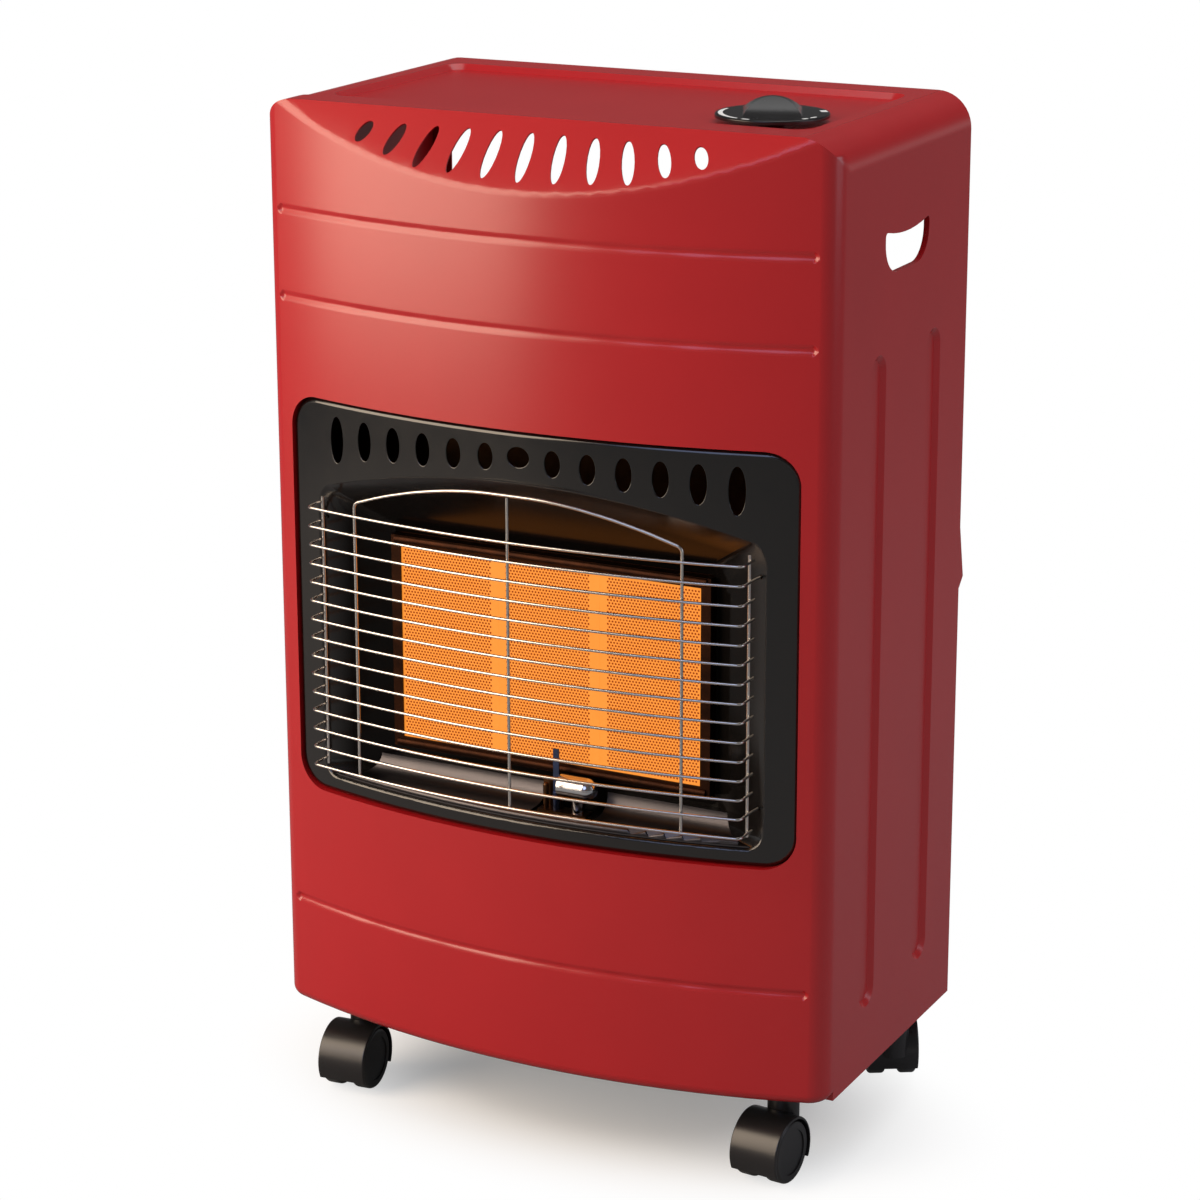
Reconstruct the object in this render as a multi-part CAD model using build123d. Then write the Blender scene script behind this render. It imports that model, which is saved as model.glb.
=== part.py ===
from build123d import *
import math
import os

# Portable infrared gas cabinet heater on casters, in millimetres.
# The origin is on the floor under the middle of the heater.
# +X is the heater's left to right as seen from the front, +Y runs to the back, +Z is up.

# Cabinet
cabinet_width = 420.0
cabinet_top = 717.0
cabinet_bottom = 64.5
cabinet_depth = 227.5
front_bow = 34.0
bow_inset = 6.0
sheet = 1.2
overrun = 5.0
seat_gap = 0.2

# Front panel
front_bottom = 66.5
corner_radius = 17.0
shoulder_radius = 24.5
bottom_roll = 8.0
front_return = 19.0
return_flange = 14.0
facet_angle = 54.0
facet_set = 2.0
crease_radius = 9.0

# Pressed grooves across the front panel
groove_drops = (74.5, 134.0)
groove_rise = 80.0
groove_inset = 15.0
groove_mouth = 8.5
groove_floor = 3.0
groove_depth = 2.2

# Vents in the slanted facet, from the middle one to an end one
vent_pitch = 24.5
vent_width = 9.0
vent_lengths = (36.0, 35.0, 33.5, 32.0, 25.0, 17.0)
vent_edge = 11.0
vent_fan = 5.3

# Burner opening in the front panel
opening_margin = 20.0
opening_low = 233.5
opening_high = 516.5
opening_radius = 23.0
opening_lip = 7.8

# Cabinet shell
rim_proud = 0.8
front_flange = 11.0
rear_flange = 16.0
floor_flange = 15.0
tray_side = 34.0
tray_front = 10.0
tray_rear = 27.0
tray_depth = 3.7
tray_slope = 5.0
tray_corner = 8.0
bead_width = 25.0
bead_slope = 4.0
bead_depth = 3.0
bead_low = 112.0
bead_drop = 151.0
bead_places = (73.5, 168.0)
handle_width = 74.5
handle_place = 118.0
handle_drop = 100.5
handle_height = 28.7
handle_sag = 4.5
handle_low_radius = 21.0
handle_high_radius = 3.0
handle_lip = 4.0

# Base
base_rim = 12.0
base_clearance = 0.5
socket_radius = 8.5
socket_flange_radius = 12.0
socket_flange = 2.4
socket_height = 34.0

# Burner surround, a pressed black bezel with a flared dish
bezel_gap = 0.6
bezel_set = 2.5
bezel_roll = 4.5
bezel_deep = 9.2
bezel_flange = 7.0
slot_pitch = 24.85
slot_width = 11.0
slot_top = 505.0
slot_lengths = (13.5, 17.5, 19.7, 22.0, 23.5, 26.5, 32.0)
middle_slot_width = 16.0
dish_back = 16.0
dish_mouth = -38.0
dish_margin = 9.0
dish_low = 246.0
dish_high = 423.0
dish_side_flare = 1.8
dish_top_flare = 1.215
dish_corner = 14.0
dish_edge = 2.4

# Reflector tray in the bottom of the dish
tray_thick = 1.0
tray_seat = 0.3
tray_lip_radius = 2.0
tray_ledge_width = 5.0
tray_rise = 13.0
pilot_gap_from = -3.0
pilot_gap_to = 44.0

# Radiant burner
glow_depth = 10.0
burner_margin = 75.0
plaque_gap = 0.4
plaque_low = 275.0
plaque_height = 140.0
plaque_thick = 12.0
frame_edge = 6.0
frame_flange = 9.0
frame_clearance = 0.7
frame_lip = 3.0
gasket_thick = 2.0
gasket_band = 6.0
head_deep = 26.0
head_edge = 4.0
mixer_radius = 10.0
mixer_bore = 8.0
mixer_low = 228.0
mixer_high = 330.0
mixer_bore_deep = 40.0
injector_radius = 5.0
injector_collar = 7.0
injector_collar_height = 3.0
injector_low = 204.0
nozzle_radius = 3.0
nozzle_rise = 5.0
bracket_low = 212.0
bracket_end = 19.2
bracket_flange = 22.0
bracket_deep = 32.0

# Heat shield
shield_depth = 70.0
shield_overlap = 2.0
shield_low = 206.0
shield_high = 560.0
shield_flange_low = 240.0
shield_flange_high = 510.0

# Wire guard
guard_stand = 16.0
guard_bow = 17.0
guard_inset = 28.0
guard_low = 261.0
guard_pitch = 13.15
guard_wires = 15
wire_radius = 1.0
upright_radius = 1.1
guard_bend = 4.0
guard_return = 18.0
guard_hook = 13.0
guard_hook_angle = 8.0
hook_hole = 1.6
portal_inset = 40.0
portal_shoulder = 454.0
portal_crown = 477.0
portal_foot = 260.0
portal_bend = 5.0
portal_curve_share = 0.6
portal_arch_shares = (0.8, 0.6, 0.4, 0.2)
side_upright_inset = 2.2

# Pilot
pilot_depth = -2.0
pilot_radius = 8.0
pilot_start = 15.0
pilot_end = 42.5
pilot_height = 264.5
pilot_foot_radius = 4.5
pilot_bracket_deep = 11.0
pilot_ear = 20.0
electrode_x = 11.5
electrode_radius = 2.6
electrode_height = 13.0
blade_width = 4.4
blade_thick = 0.9
blade_top = 290.0
probe_x = 3.5
probe_radius = 2.0
probe_height = 17.0

# Gas valve and knob
knob_inset = 79.0
knob_depth = 75.0
knob_radius = 37.3
knob_rim = 2.5
knob_lift = 3.3
knob_edge = 1.0
knob_angle = 24.0
grip_length = 40.0
grip_thick = 4.0
grip_height = 10.8
grip_reach = 31.0
scoop_dip = 0.3
hub_radius = 8.0
hub_depth = 13.0
spindle_radius = 3.0
spindle_rise = 8.0
knob_hole_radius = 13.0
plug_radius = 7.0
plug_rise = 12.0
plug_height = 18.0
running_gap = 0.05
valve_width = 56.0
valve_deep = 34.0
valve_drop = 22.5
valve_height = 36.0
valve_neck_radius = 10.0
valve_neck = 8.0
valve_edge = 3.0
hanger_leg_half = 27.0
hanger_deep = 26.0
hanger_foot = 11.0
nut_across = 26.0
nut_thick = 4.0
valve_port_pitch = 13.0
port_radius = 5.0
port_drop = 6.0

# Hose inlet
spigot_radius = 4.5
spigot_length = 24.0
inlet_collar_radius = 8.0
inlet_collar = 8.0
inlet_rise = 16.0

# Gas pipes
pipe_radius = 3.0
pipe_bend = 14.0
pipe_depth = 80.0
pipe_sag = 186.0
pipe_run_drops = (64.0, 80.0, 96.0)
pilot_pipe_radius = 2.0
pilot_pipe_bend = 9.0
pilot_pipe_depth = 86.0
pilot_pipe_low = 197.0
pilot_pipe_x = 28.0

# Rear cover
cover_inset = 4.0
cover_low = 70.0
cover_high = 455.0
cover_flange = 10.0
cover_flange_low = 92.0
cover_flange_inset = 16.0
scoop_depth = 16.0
scoop_width = 42.0
scoop_low = 366.0
scoop_high = 451.0
scoop_lip = 7.0
hinge_inset = 86.0
hinge_set = 4.6
hinge_radius = 4.0
hinge_knuckle = 24.0
hinge_pin_radius = 2.5
hinge_ear = 3.0
hinge_ear_gap = 0.4
hinge_ear_height = 9.0

# Casters
wheel_radius = 22.0
wheel_width = 12.4
wheel_edge = 2.5
wheel_dish_radius = 16.0
wheel_dish = 0.8
web_half = 4.5
side_play = 0.5
hood_radius = 25.0
hood_width = 36.0
hood_edge = 1.2
hood_clearance = 1.2
hood_skirt = 11.0
caster_trail = 18.0
neck_radius = 11.0
stem_radius = 5.5
stem_foot = 45.0
stem_top = 94.0
caster_play = 0.3
axle_radius = 3.0
axle_length = 27.0
front_caster_inset = 44.0
rear_caster_inset = 30.0
front_caster_depth = 35.0
rear_caster_set = 29.8
front_caster_angle = 5.0
rear_caster_angle = 210.0

# Screws that hold the surround, the base and the valve hanger
screw_radius = 3.6
screw_head = 1.8

# Places worked out from the sizes above
half_width = cabinet_width / 2
bow_chord = cabinet_width - 2 * bow_inset
groove_half = half_width - groove_inset
opening_width = cabinet_width - 2 * opening_margin
tray_width = cabinet_width - 2 * tray_side
cover_half = half_width - cover_inset
hinge_x = cover_half - hinge_inset
knob_x = half_width - knob_inset
front_caster_x = half_width - front_caster_inset
rear_caster_x = half_width - rear_caster_inset
rear_caster_depth = cabinet_depth - rear_caster_set
guard_half = opening_width / 2 - guard_inset
portal_half = guard_half - portal_inset
shield_half = opening_width / 2 + shield_overlap
hook_wires = (1, guard_wires - 2)
overall_depth = guard_stand + front_bow + cabinet_depth + scoop_depth
back_y = overall_depth / 2 - scoop_depth
chord_y = back_y - cabinet_depth
nose_y = chord_y - front_bow
seam_y = chord_y + front_return
bow_radius = ((bow_chord / 2) ** 2 + front_bow ** 2) / (2 * front_bow)
bow_axis_y = nose_y + bow_radius
facet_edge_y = chord_y - facet_set
facet_normal = Vector(0, -math.sin(math.radians(facet_angle)), math.cos(math.radians(facet_angle)))
shell_half = half_width - rim_proud
shell_top = cabinet_top - rim_proud
tray_floor_z = shell_top - tray_depth
valve_high = tray_floor_z - valve_drop
valve_low = valve_high - valve_height
plug_low = valve_low + plug_rise
spindle_foot = valve_low + spindle_rise
inlet_height = valve_low + inlet_rise
handle_low = cabinet_top - handle_drop
handle_high = handle_low + handle_height
bead_high = cabinet_top - bead_drop
groove_heights = [cabinet_top - drop for drop in groove_drops] + [front_bottom + groove_rise]
opening_middle = (opening_low + opening_high) / 2
opening_height = opening_high - opening_low
base_z = cabinet_bottom + sheet
knob_y = chord_y + knob_depth
guard_front_y = nose_y - guard_stand + wire_radius
guard_radius = (guard_half ** 2 + guard_bow ** 2) / (2 * guard_bow)
guard_axis_y = guard_front_y + guard_radius
plaque_middle_z = plaque_low + plaque_height / 2
burner_width = opening_width - 2 * burner_margin
plaque_width = (burner_width - 2 * plaque_gap) / 3
plaque_pitch = plaque_width + plaque_gap
bracket_half = plaque_pitch + bracket_end
dish_back_width = burner_width + 2 * dish_margin
hinge_y = back_y + hinge_set
plaque_back = glow_depth + plaque_thick
head_front = plaque_back + gasket_thick + 2 * running_gap
mixer_depth = head_front + head_deep
front_face_through = cabinet_depth
upper = (Align.CENTER, Align.CENTER, Align.MIN)
lower = (Align.CENTER, Align.CENTER, Align.MAX)


def depth_y(depth):
    # Y of a plane at a depth behind the chord of the front corners
    return chord_y + depth


def bow_y(x, depth=0.0):
    # Y of the bowed front face at x, or of a face at a depth behind it
    return bow_axis_y - math.sqrt((bow_radius - depth) ** 2 - x ** 2)


def guard_y(x):
    return guard_axis_y - math.sqrt(guard_radius ** 2 - x ** 2)


def upright_prism(plan, low, high):
    return Pos(0, 0, low) * extrude(plan, amount=high - low, dir=(0, 0, 1))


def through_front(outline):
    # An outline drawn in X and Z, run through the whole depth
    return extrude(Plane.XZ * outline, amount=front_face_through, both=True)


def bow_slab(front, back, half, low, high):
    # Curved slab between two depths behind the bowed face
    outer = ThreePointArc((-half, bow_y(half, front)), (0, bow_y(0, front)), (half, bow_y(half, front)))
    inner = ThreePointArc((half, bow_y(half, back)), (0, bow_y(0, back)), (-half, bow_y(half, back)))
    plan = make_face([outer, Line(outer @ 1, inner @ 0), inner, Line(inner @ 1, outer @ 0)])
    return upright_prism(plan, low, high)


def box_between(low, high):
    size = [b - a for a, b in zip(low, high)]
    middle = [(a + b) / 2 for a, b in zip(low, high)]
    return Pos(*middle) * Box(*size)


def facet_plane(inset=0.0):
    return Plane(Vector(0, facet_edge_y, cabinet_top) - facet_normal * inset, (1, 0, 0), facet_normal)


def groove_tool(height, inset):
    # Groove pressed along the bow with round ends, larger by the sheet for the inner side
    angle = math.asin(groove_half / bow_radius)
    floor = groove_floor / 2 + inset
    bottom = bow_radius - groove_depth - inset
    deep = groove_depth + inset + overrun
    mouth = floor + deep * (groove_mouth - groove_floor) / (2 * groove_depth)
    rim = bottom + deep
    section = Polygon((rim, mouth), (bottom, floor), (bottom, -floor), (rim, -mouth), align=None)
    axis = Axis((0, bow_axis_y, 0), (0, 0, 1))
    left = Vector(-math.sin(angle), -math.cos(angle), 0)
    right = Vector(math.sin(angle), -math.cos(angle), 0)
    middle = Vector(0, bow_axis_y, height)
    start = Plane(middle, left, (-math.cos(angle), math.sin(angle), 0))
    tool = revolve(start * section, axis, revolution_arc=2 * math.degrees(angle))
    for way in (left, right):
        end = Plane(middle + way * bottom, (0, 0, 1), way)
        tool += end * Cone(floor, mouth, deep, align=upper)
    return tool


def panel_plan(inset, back):
    half = half_width - inset
    corner = bow_y(half, inset)
    arc = ThreePointArc((-half, corner), (0, bow_y(0, inset)), (half, corner))
    sides = Polyline((half, corner), (half, back), (-half, back), (-half, corner))
    plan = make_face([arc, *sides.edges()])
    return fillet(plan.vertices().group_by(Axis.Y)[0], corner_radius - inset)


def panel_block(inset, back):
    low = front_bottom + inset
    high = cabinet_top - inset
    front = Pos(0, (low + high) / 2) * Rectangle(2 * (half_width - inset), high - low)
    front = fillet(front.vertices().group_by(Axis.Y)[-1], shoulder_radius - inset)
    block = upright_prism(panel_plan(inset, back), low, high) & through_front(front)
    block -= facet_plane(inset) * Box(cabinet_width, cabinet_depth, cabinet_depth, align=upper)
    on_facet = facet_plane(inset)
    creases = block.edges().filter_by(lambda e: abs(on_facet.to_local_coords(e @ 0.5).Z) < running_gap)
    block = fillet(creases.sort_by(Axis.Z)[:1], crease_radius - inset)
    under = block.edges().group_by(Axis.Z)[0].sort_by(lambda e: (e @ 0.5).Y)[:-1]
    block = fillet(under, bottom_roll - inset)
    for height in groove_heights:
        block -= groove_tool(height, inset)
    return block


def vent_slots():
    slots = []
    for step, length in enumerate(vent_lengths):
        for side in (-step, step) if step else (0,):
            place = Pos(side * vent_pitch, -vent_edge - length / 2) * Rot(0, 0, side * vent_fan)
            slots.append(place * Ellipse(vent_width / 2, length / 2))
    return extrude(facet_plane() * Sketch(children=slots), amount=2 * overrun, both=True)


def opening_outline(grow):
    outline = RectangleRounded(opening_width + 2 * grow, opening_height + 2 * grow, opening_radius + grow)
    return Pos(0, opening_middle) * outline


def front_panel():
    panel = panel_block(0, seam_y) - panel_block(sheet, seam_y + overrun)
    floor_hole = panel_plan(return_flange, seam_y + overrun)
    panel -= upright_prism(floor_hole, front_bottom - overrun, front_bottom + sheet + overrun)
    panel -= vent_slots()
    hole = through_front(opening_outline(sheet))
    lip = hole - through_front(opening_outline(0))
    half = opening_width / 2 + 2 * sheet
    reach = bow_slab(0, opening_lip, half, opening_low - 2 * sheet, opening_high + 2 * sheet)
    face = bow_slab(-overrun, opening_lip, half, opening_low - 2 * sheet, opening_high + 2 * sheet)
    return panel - (hole & face) + (lip & reach)


def shell_block(inset):
    low = cabinet_bottom + inset
    high = shell_top - inset
    outline = Pos(0, (low + high) / 2) * Rectangle(2 * (shell_half - inset), high - low)
    outline = fillet(outline.vertices().group_by(Axis.Y)[-1], shoulder_radius - inset)
    block = extrude(Plane.XZ * outline, amount=front_face_through, both=True)
    block &= box_between((-half_width, seam_y + inset, 0), (half_width, back_y - inset, cabinet_top))
    beads = bead_tools(inset)
    return block - tray_tool(inset) - beads - mirror(beads, about=Plane.YZ)


def bead_tools(inset):
    # Upright channels pressed into the right side wall
    spread = bead_slope * (overrun + bead_depth + inset) / bead_depth
    tools = []
    for place in bead_places:
        sketches = []
        for x, grow in ((shell_half - bead_depth - inset, 0), (shell_half + overrun, spread)):
            width = bead_width - 2 * bead_slope + 2 * inset + 2 * grow
            length = bead_high - bead_low + width - bead_width
            plane = Plane((x, depth_y(place), (bead_low + bead_high) / 2), (0, 1, 0), (1, 0, 0))
            sketches.append(plane * SlotOverall(length, width, rotation=90))
        tools.append(loft(sketches))
    return Compound(children=tools)


def tray_tool(inset):
    # Shallow tray pressed into the top
    spread = tray_slope * (overrun + tray_depth + inset) / tray_depth
    length = cabinet_depth - front_return - tray_front - tray_rear
    middle = (seam_y + tray_front + back_y - tray_rear) / 2
    sketches = []
    for z, grow in ((tray_floor_z - inset, 0), (shell_top + overrun, spread)):
        trim = 2 * (inset + grow - tray_slope)
        plane = Plane((0, middle, z))
        sketches.append(plane * RectangleRounded(tray_width + trim, length + trim, tray_corner + grow))
    return loft(sketches)


def handle_outline(grow):
    half = handle_width / 2 + grow
    low = handle_low - grow
    high = handle_high + grow
    top = ThreePointArc((-half, high), (0, high - handle_sag), (half, high))
    sides = Polyline((half, high), (half, low), (-half, low), (-half, high))
    outline = make_face([top, *sides.edges()])
    outline = fillet(outline.vertices().group_by(Axis.Y)[0], handle_low_radius + grow)
    return fillet(outline.vertices().group_by(Axis.Y)[-1], handle_high_radius + grow)


def handle_bar(grow, low, high):
    # Handle outline run along X between two places
    plane = Plane((low, depth_y(handle_place), 0), (0, 1, 0), (1, 0, 0))
    return extrude(plane * handle_outline(grow), amount=high - low)


def base_screw_places():
    x = shell_half - floor_flange / 2
    rows = (seam_y + floor_flange, (seam_y + back_y) / 2, back_y - 2 * floor_flange)
    return [(side * x, y) for side in (-1, 1) for y in rows]


def cabinet_shell():
    shell = shell_block(0) - shell_block(sheet)
    front = shell_half - front_flange
    rear = shell_half - rear_flange
    floor = shell_half - floor_flange
    below = cabinet_bottom - overrun
    inside = (seam_y + back_y) / 2
    shell -= box_between((-front, seam_y - overrun, below), (front, inside, shell_top - front_flange))
    shell -= box_between((-rear, inside, below), (rear, back_y + overrun, shell_top - rear_flange))
    shell -= box_between(
        (-floor, seam_y + floor_flange, below),
        (floor, back_y - floor_flange, cabinet_bottom + sheet + overrun),
    )
    lip = handle_bar(sheet, shell_half - handle_lip, shell_half)
    hole = handle_bar(0, shell_half - handle_lip - overrun, shell_half + overrun)
    shell = shell + lip + mirror(lip, about=Plane.YZ) - hole - mirror(hole, about=Plane.YZ)
    shell -= Pos(knob_x, knob_y, shell_top) * Cylinder(knob_hole_radius, 4 * overrun)
    for x, y in base_screw_places():
        shell -= Pos(x, y, cabinet_bottom) * Cylinder(screw_radius / 2 + running_gap, 2 * overrun)
    return shell


def caster_places():
    # Corner name, stem X, stem Y and turn of each caster
    front_y = depth_y(front_caster_depth)
    rear_y = depth_y(rear_caster_depth)
    return (
        ("front_left", -front_caster_x, front_y, front_caster_angle),
        ("front_right", front_caster_x, front_y, -front_caster_angle),
        ("rear_left", -rear_caster_x, rear_y, -rear_caster_angle),
        ("rear_right", rear_caster_x, rear_y, rear_caster_angle),
    )


def base_plate():
    half = shell_half - sheet - base_clearance
    front = seam_y + sheet + base_clearance
    rear = back_y - sheet - base_clearance
    plate = box_between((-half, front, base_z), (half, rear, base_z + base_rim))
    plate -= box_between(
        (sheet - half, front + sheet, base_z + sheet),
        (half - sheet, rear - sheet, base_z + base_rim + overrun),
    )
    reach = hinge_knuckle / 2 + hinge_ear_gap
    for side in (-1, 1):
        for start in (-reach - hinge_ear, reach):
            x = side * hinge_x + start
            ear = box_between(
                (x, rear - sheet, base_z),
                (x + hinge_ear, hinge_y + hinge_radius, base_z + hinge_ear_height),
            )
            plate += ear - hinge_bore(hinge_pin_radius, x - overrun, x + hinge_ear + overrun)
    for _, x, y, _ in caster_places():
        plate -= Pos(x, y, base_z) * Cylinder(socket_radius + running_gap, 2 * overrun)
    for x, y in base_screw_places():
        plate -= Pos(x, y, base_z) * Cylinder(screw_radius / 2 + running_gap, 2 * overrun)
    return plate


def hinge_bore(radius, low, high):
    rod = Rot(0, 90, 0) * Cylinder(radius, high - low)
    return Pos((low + high) / 2, hinge_y, cover_low) * rod


def base_screws():
    screws = []
    for x, y in base_screw_places():
        head = Pos(x, y, cabinet_bottom) * Cylinder(screw_radius, screw_head, align=lower)
        shank = Pos(x, y, cabinet_bottom) * Cylinder(screw_radius / 2, 2 * sheet + screw_head, align=upper)
        screws.append(head + shank)
    return Compound(children=screws)


def caster_sockets():
    sockets = []
    for _, x, y, _ in caster_places():
        bush = Cylinder(socket_radius, socket_height, align=upper)
        bush += Cylinder(socket_flange_radius, socket_flange, align=lower)
        bush -= Pos(0, 0, -socket_flange) * Cylinder(
            stem_radius + running_gap, stem_top - base_z + socket_flange + caster_play, align=upper
        )
        sockets.append(Pos(x, y, base_z) * bush)
    return Compound(children=sockets)


def rear_cover():
    front = back_y + 2 * running_gap
    rear = front + sheet
    cover = box_between((-cover_half, front, cover_low), (cover_half, rear, cover_high))
    cover = fillet(cover.edges().filter_by(Axis.Y).group_by(Axis.Z)[-1], scoop_lip)
    edge = cover_half - cover_flange_inset
    inner = front - cover_flange
    for side in (-1, 1):
        flange = box_between((edge - sheet, inner, cover_flange_low), (edge, front, cover_high - sheet))
        cover += flange if side > 0 else mirror(flange, about=Plane.YZ)
    cover += box_between((-edge, inner, cover_high - 2 * sheet), (edge, front, cover_high - sheet))
    for side in (-1, 1):
        for inset in (0, sheet):
            wedge = scoop_wedge(inset, front)
            wedge = wedge if side > 0 else mirror(wedge, about=Plane.YZ)
            cover = cover - wedge if inset else cover + wedge
    reach = hinge_knuckle / 2
    notch = 2 * hinge_ear
    for side in (-1, 1):
        x = side * hinge_x
        for start in (-reach - notch, reach):
            cover -= box_between(
                (x + start, front - overrun, cover_low - overrun),
                (x + start + notch, rear + overrun, cover_low + hinge_ear_height + overrun),
            )
        knuckle = hinge_bore(hinge_radius, x - reach, x + reach)
        cover += knuckle
        cover -= hinge_bore(hinge_pin_radius + running_gap, x - reach - overrun, x + reach + overrun)
    return cover


def scoop_wedge(inset, front):
    # Pressed finger scoop by the right edge, or its hollow
    rear = back_y + scoop_depth - inset
    start = front - (overrun if inset else 0)
    low = scoop_low + inset
    high = scoop_high - inset
    outline = Polygon(
        (start, low), (rear - scoop_lip, low), (rear, low + scoop_lip), (front, high), (start, high), align=None
    )
    inner = cover_half - scoop_width + inset
    wedge = extrude(Plane.YZ * outline, amount=scoop_width - 2 * inset, dir=(1, 0, 0))
    return Pos(inner, 0, 0) * wedge


def hinge_pins():
    reach = hinge_knuckle / 2 + hinge_ear_gap + hinge_ear
    pins = [hinge_bore(hinge_pin_radius, side * hinge_x - reach, side * hinge_x + reach) for side in (-1, 1)]
    return Compound(children=pins)


def bezel_block(inset, back):
    half = opening_width / 2
    slab = bow_slab(bezel_set + inset, back, half, opening_low, opening_high)
    block = slab & through_front(opening_outline(-bezel_gap - inset))
    front = bow_radius - bezel_set - inset

    def on_face(edge):
        middle = edge @ 0.5
        return abs(math.hypot(middle.X, middle.Y - bow_axis_y) - front) < running_gap

    return fillet(block.edges().filter_by(on_face), bezel_roll - inset)


def dish_section(depth, grow):
    flare = dish_back - depth
    width = dish_back_width + 2 * dish_side_flare * flare + 2 * grow
    low = dish_low - grow
    high = dish_high + dish_top_flare * flare + grow
    plane = Plane((0, depth_y(depth), (low + high) / 2), (1, 0, 0), (0, -1, 0))
    return plane * RectangleRounded(width, high - low, dish_corner)


def dish_block(grow):
    back = dish_back + max(grow, 0)
    return loft([dish_section(dish_mouth, grow), dish_section(back, grow)])


def bezel_slots():
    slots = []
    for step, length in enumerate(slot_lengths):
        width = slot_width if step else middle_slot_width
        for side in (-step, step) if step else (0,):
            slots.append(Pos(side * slot_pitch, slot_top - length / 2) * Ellipse(width / 2, length / 2))
    reach = bow_slab(-overrun, bezel_deep, opening_width / 2, opening_low, opening_high)
    return through_front(Sketch(children=slots)) & reach


def burner_surround():
    surround = bezel_block(0, bezel_deep) - bezel_block(sheet, bezel_deep + overrun)
    far = opening_width / 2 + 2 * bezel_flange
    ring = through_front(opening_outline(bezel_flange)) - through_front(opening_outline(-bezel_gap - sheet))
    tall = (opening_low - 2 * bezel_flange, opening_high + 2 * bezel_flange)
    surround += ring & bow_slab(opening_lip + seat_gap, bezel_deep, far, *tall)
    surround += dish_block(sheet) & bow_slab(bezel_set, cabinet_depth / 2, far, *tall)
    surround -= dish_block(0)
    front = bow_radius - bezel_set

    def on_dish_edge(edge):
        middle = edge @ 0.5
        inside = dish_low - sheet < middle.Z < slot_top - slot_lengths[0]
        on_face = abs(math.hypot(middle.X, middle.Y - bow_axis_y) - front) < running_gap
        return inside and on_face and abs(middle.X) < opening_width / 2 - 2 * bezel_roll

    surround = fillet(surround.edges().filter_by(on_dish_edge), dish_edge)
    surround -= bezel_slots()
    half = burner_width / 2 + frame_edge + frame_clearance
    tall = plaque_height / 2 + frame_edge + frame_clearance
    surround -= box_between(
        (-half, depth_y(dish_back) - sheet, plaque_middle_z - tall),
        (half, depth_y(dish_back) + overrun, plaque_middle_z + tall),
    )
    for path in (guard_hook_path(wire) for wire in hook_wires):
        for side in (-1, 1):
            hole = sweep(Plane(path @ 0, z_dir=path % 0) * Circle(hook_hole), path=path)
            surround -= hole if side > 0 else mirror(hole, about=Plane.YZ)
    return surround - pilot_hole()


def pilot_hole():
    place = Pos(pilot_pipe_x, depth_y(pilot_depth), dish_low)
    return place * Cylinder(pilot_pipe_radius + seat_gap, 4 * overrun)


def reflector_tray():
    base = dish_low + tray_seat
    inner = tray_rise
    outer = tray_rise + tray_thick
    start = depth_y(dish_back) - seat_gap - tray_ledge_width - inner
    centre = (start, base + outer)
    flat = Polygon(
        (nose_y, base), (start, base), (start, base + tray_thick), (nose_y, base + tray_thick), align=None
    )
    inner_arc = CenterArc(centre, inner, -90, 90)
    outer_arc = CenterArc(centre, outer, -90, 90)
    joins = (Line(inner_arc @ 0, outer_arc @ 0), Line(inner_arc @ 1, outer_arc @ 1))
    curve = make_face([inner_arc, outer_arc, *joins])
    ledge = Pos(start + inner, base + outer - tray_thick) * Rectangle(
        tray_ledge_width, tray_thick, align=(Align.MIN, Align.MIN)
    )
    profile = Plane.YZ * (flat + curve + ledge)
    tray = extrude(profile, amount=half_width, both=True)
    tray &= dish_block(-tray_seat)
    half = opening_width / 2
    tray &= bow_slab(bezel_set + dish_edge, cabinet_depth / 2, half, opening_low, opening_high)
    tray -= box_between(
        (pilot_gap_from, depth_y(pilot_depth) - pilot_bracket_deep, base - overrun),
        (pilot_gap_to, start + outer + tray_ledge_width, base + outer + overrun),
    )
    lip_half = guard_half - 2 * overrun
    lip_depth = bezel_set + dish_edge + tray_lip_radius + seat_gap
    lip = bow_rod(lip_depth, base + tray_lip_radius + seat_gap, tray_lip_radius, lip_half)
    return tray + lip - pilot_hole()


def bow_rod(depth, height, radius, half):
    # Round rod that follows the bow
    angle = math.asin(half / bow_radius)
    start = Plane(
        (0, bow_axis_y, height),
        (-math.sin(angle), -math.cos(angle), 0),
        (-math.cos(angle), math.sin(angle), 0),
    )
    section = start * Pos(bow_radius - depth, 0) * Circle(radius)
    return revolve(section, Axis((0, bow_axis_y, 0), (0, 0, 1)), revolution_arc=2 * math.degrees(angle))


def burner_box(grow, tall_grow, front, back):
    half = burner_width / 2 + grow
    tall = plaque_height / 2 + tall_grow
    return box_between(
        (-half, depth_y(front), plaque_middle_z - tall), (half, depth_y(back), plaque_middle_z + tall)
    )


def plaque_frame():
    front = glow_depth - seat_gap - sheet
    back = dish_back + 2 * sheet + seat_gap
    frame = burner_box(frame_edge, frame_edge, front, back)
    frame += burner_box(frame_edge + frame_flange, frame_edge + frame_flange, back - sheet, back)
    frame -= burner_box(frame_edge - sheet, frame_edge - sheet, front + sheet, back + overrun)
    frame -= burner_box(-sheet, -sheet, front - overrun, back)
    for side in (-1, 1):
        z = plaque_middle_z + side * (plaque_height + frame_edge) / 2
        rod = Rot(0, 90, 0) * Cylinder(frame_lip, burner_width + frame_edge)
        bead = Pos(0, depth_y(front) + sheet, z) * rod
        frame += bead & burner_box(frame_edge, frame_edge, front - 2 * frame_lip, front + sheet)
    return frame


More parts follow.
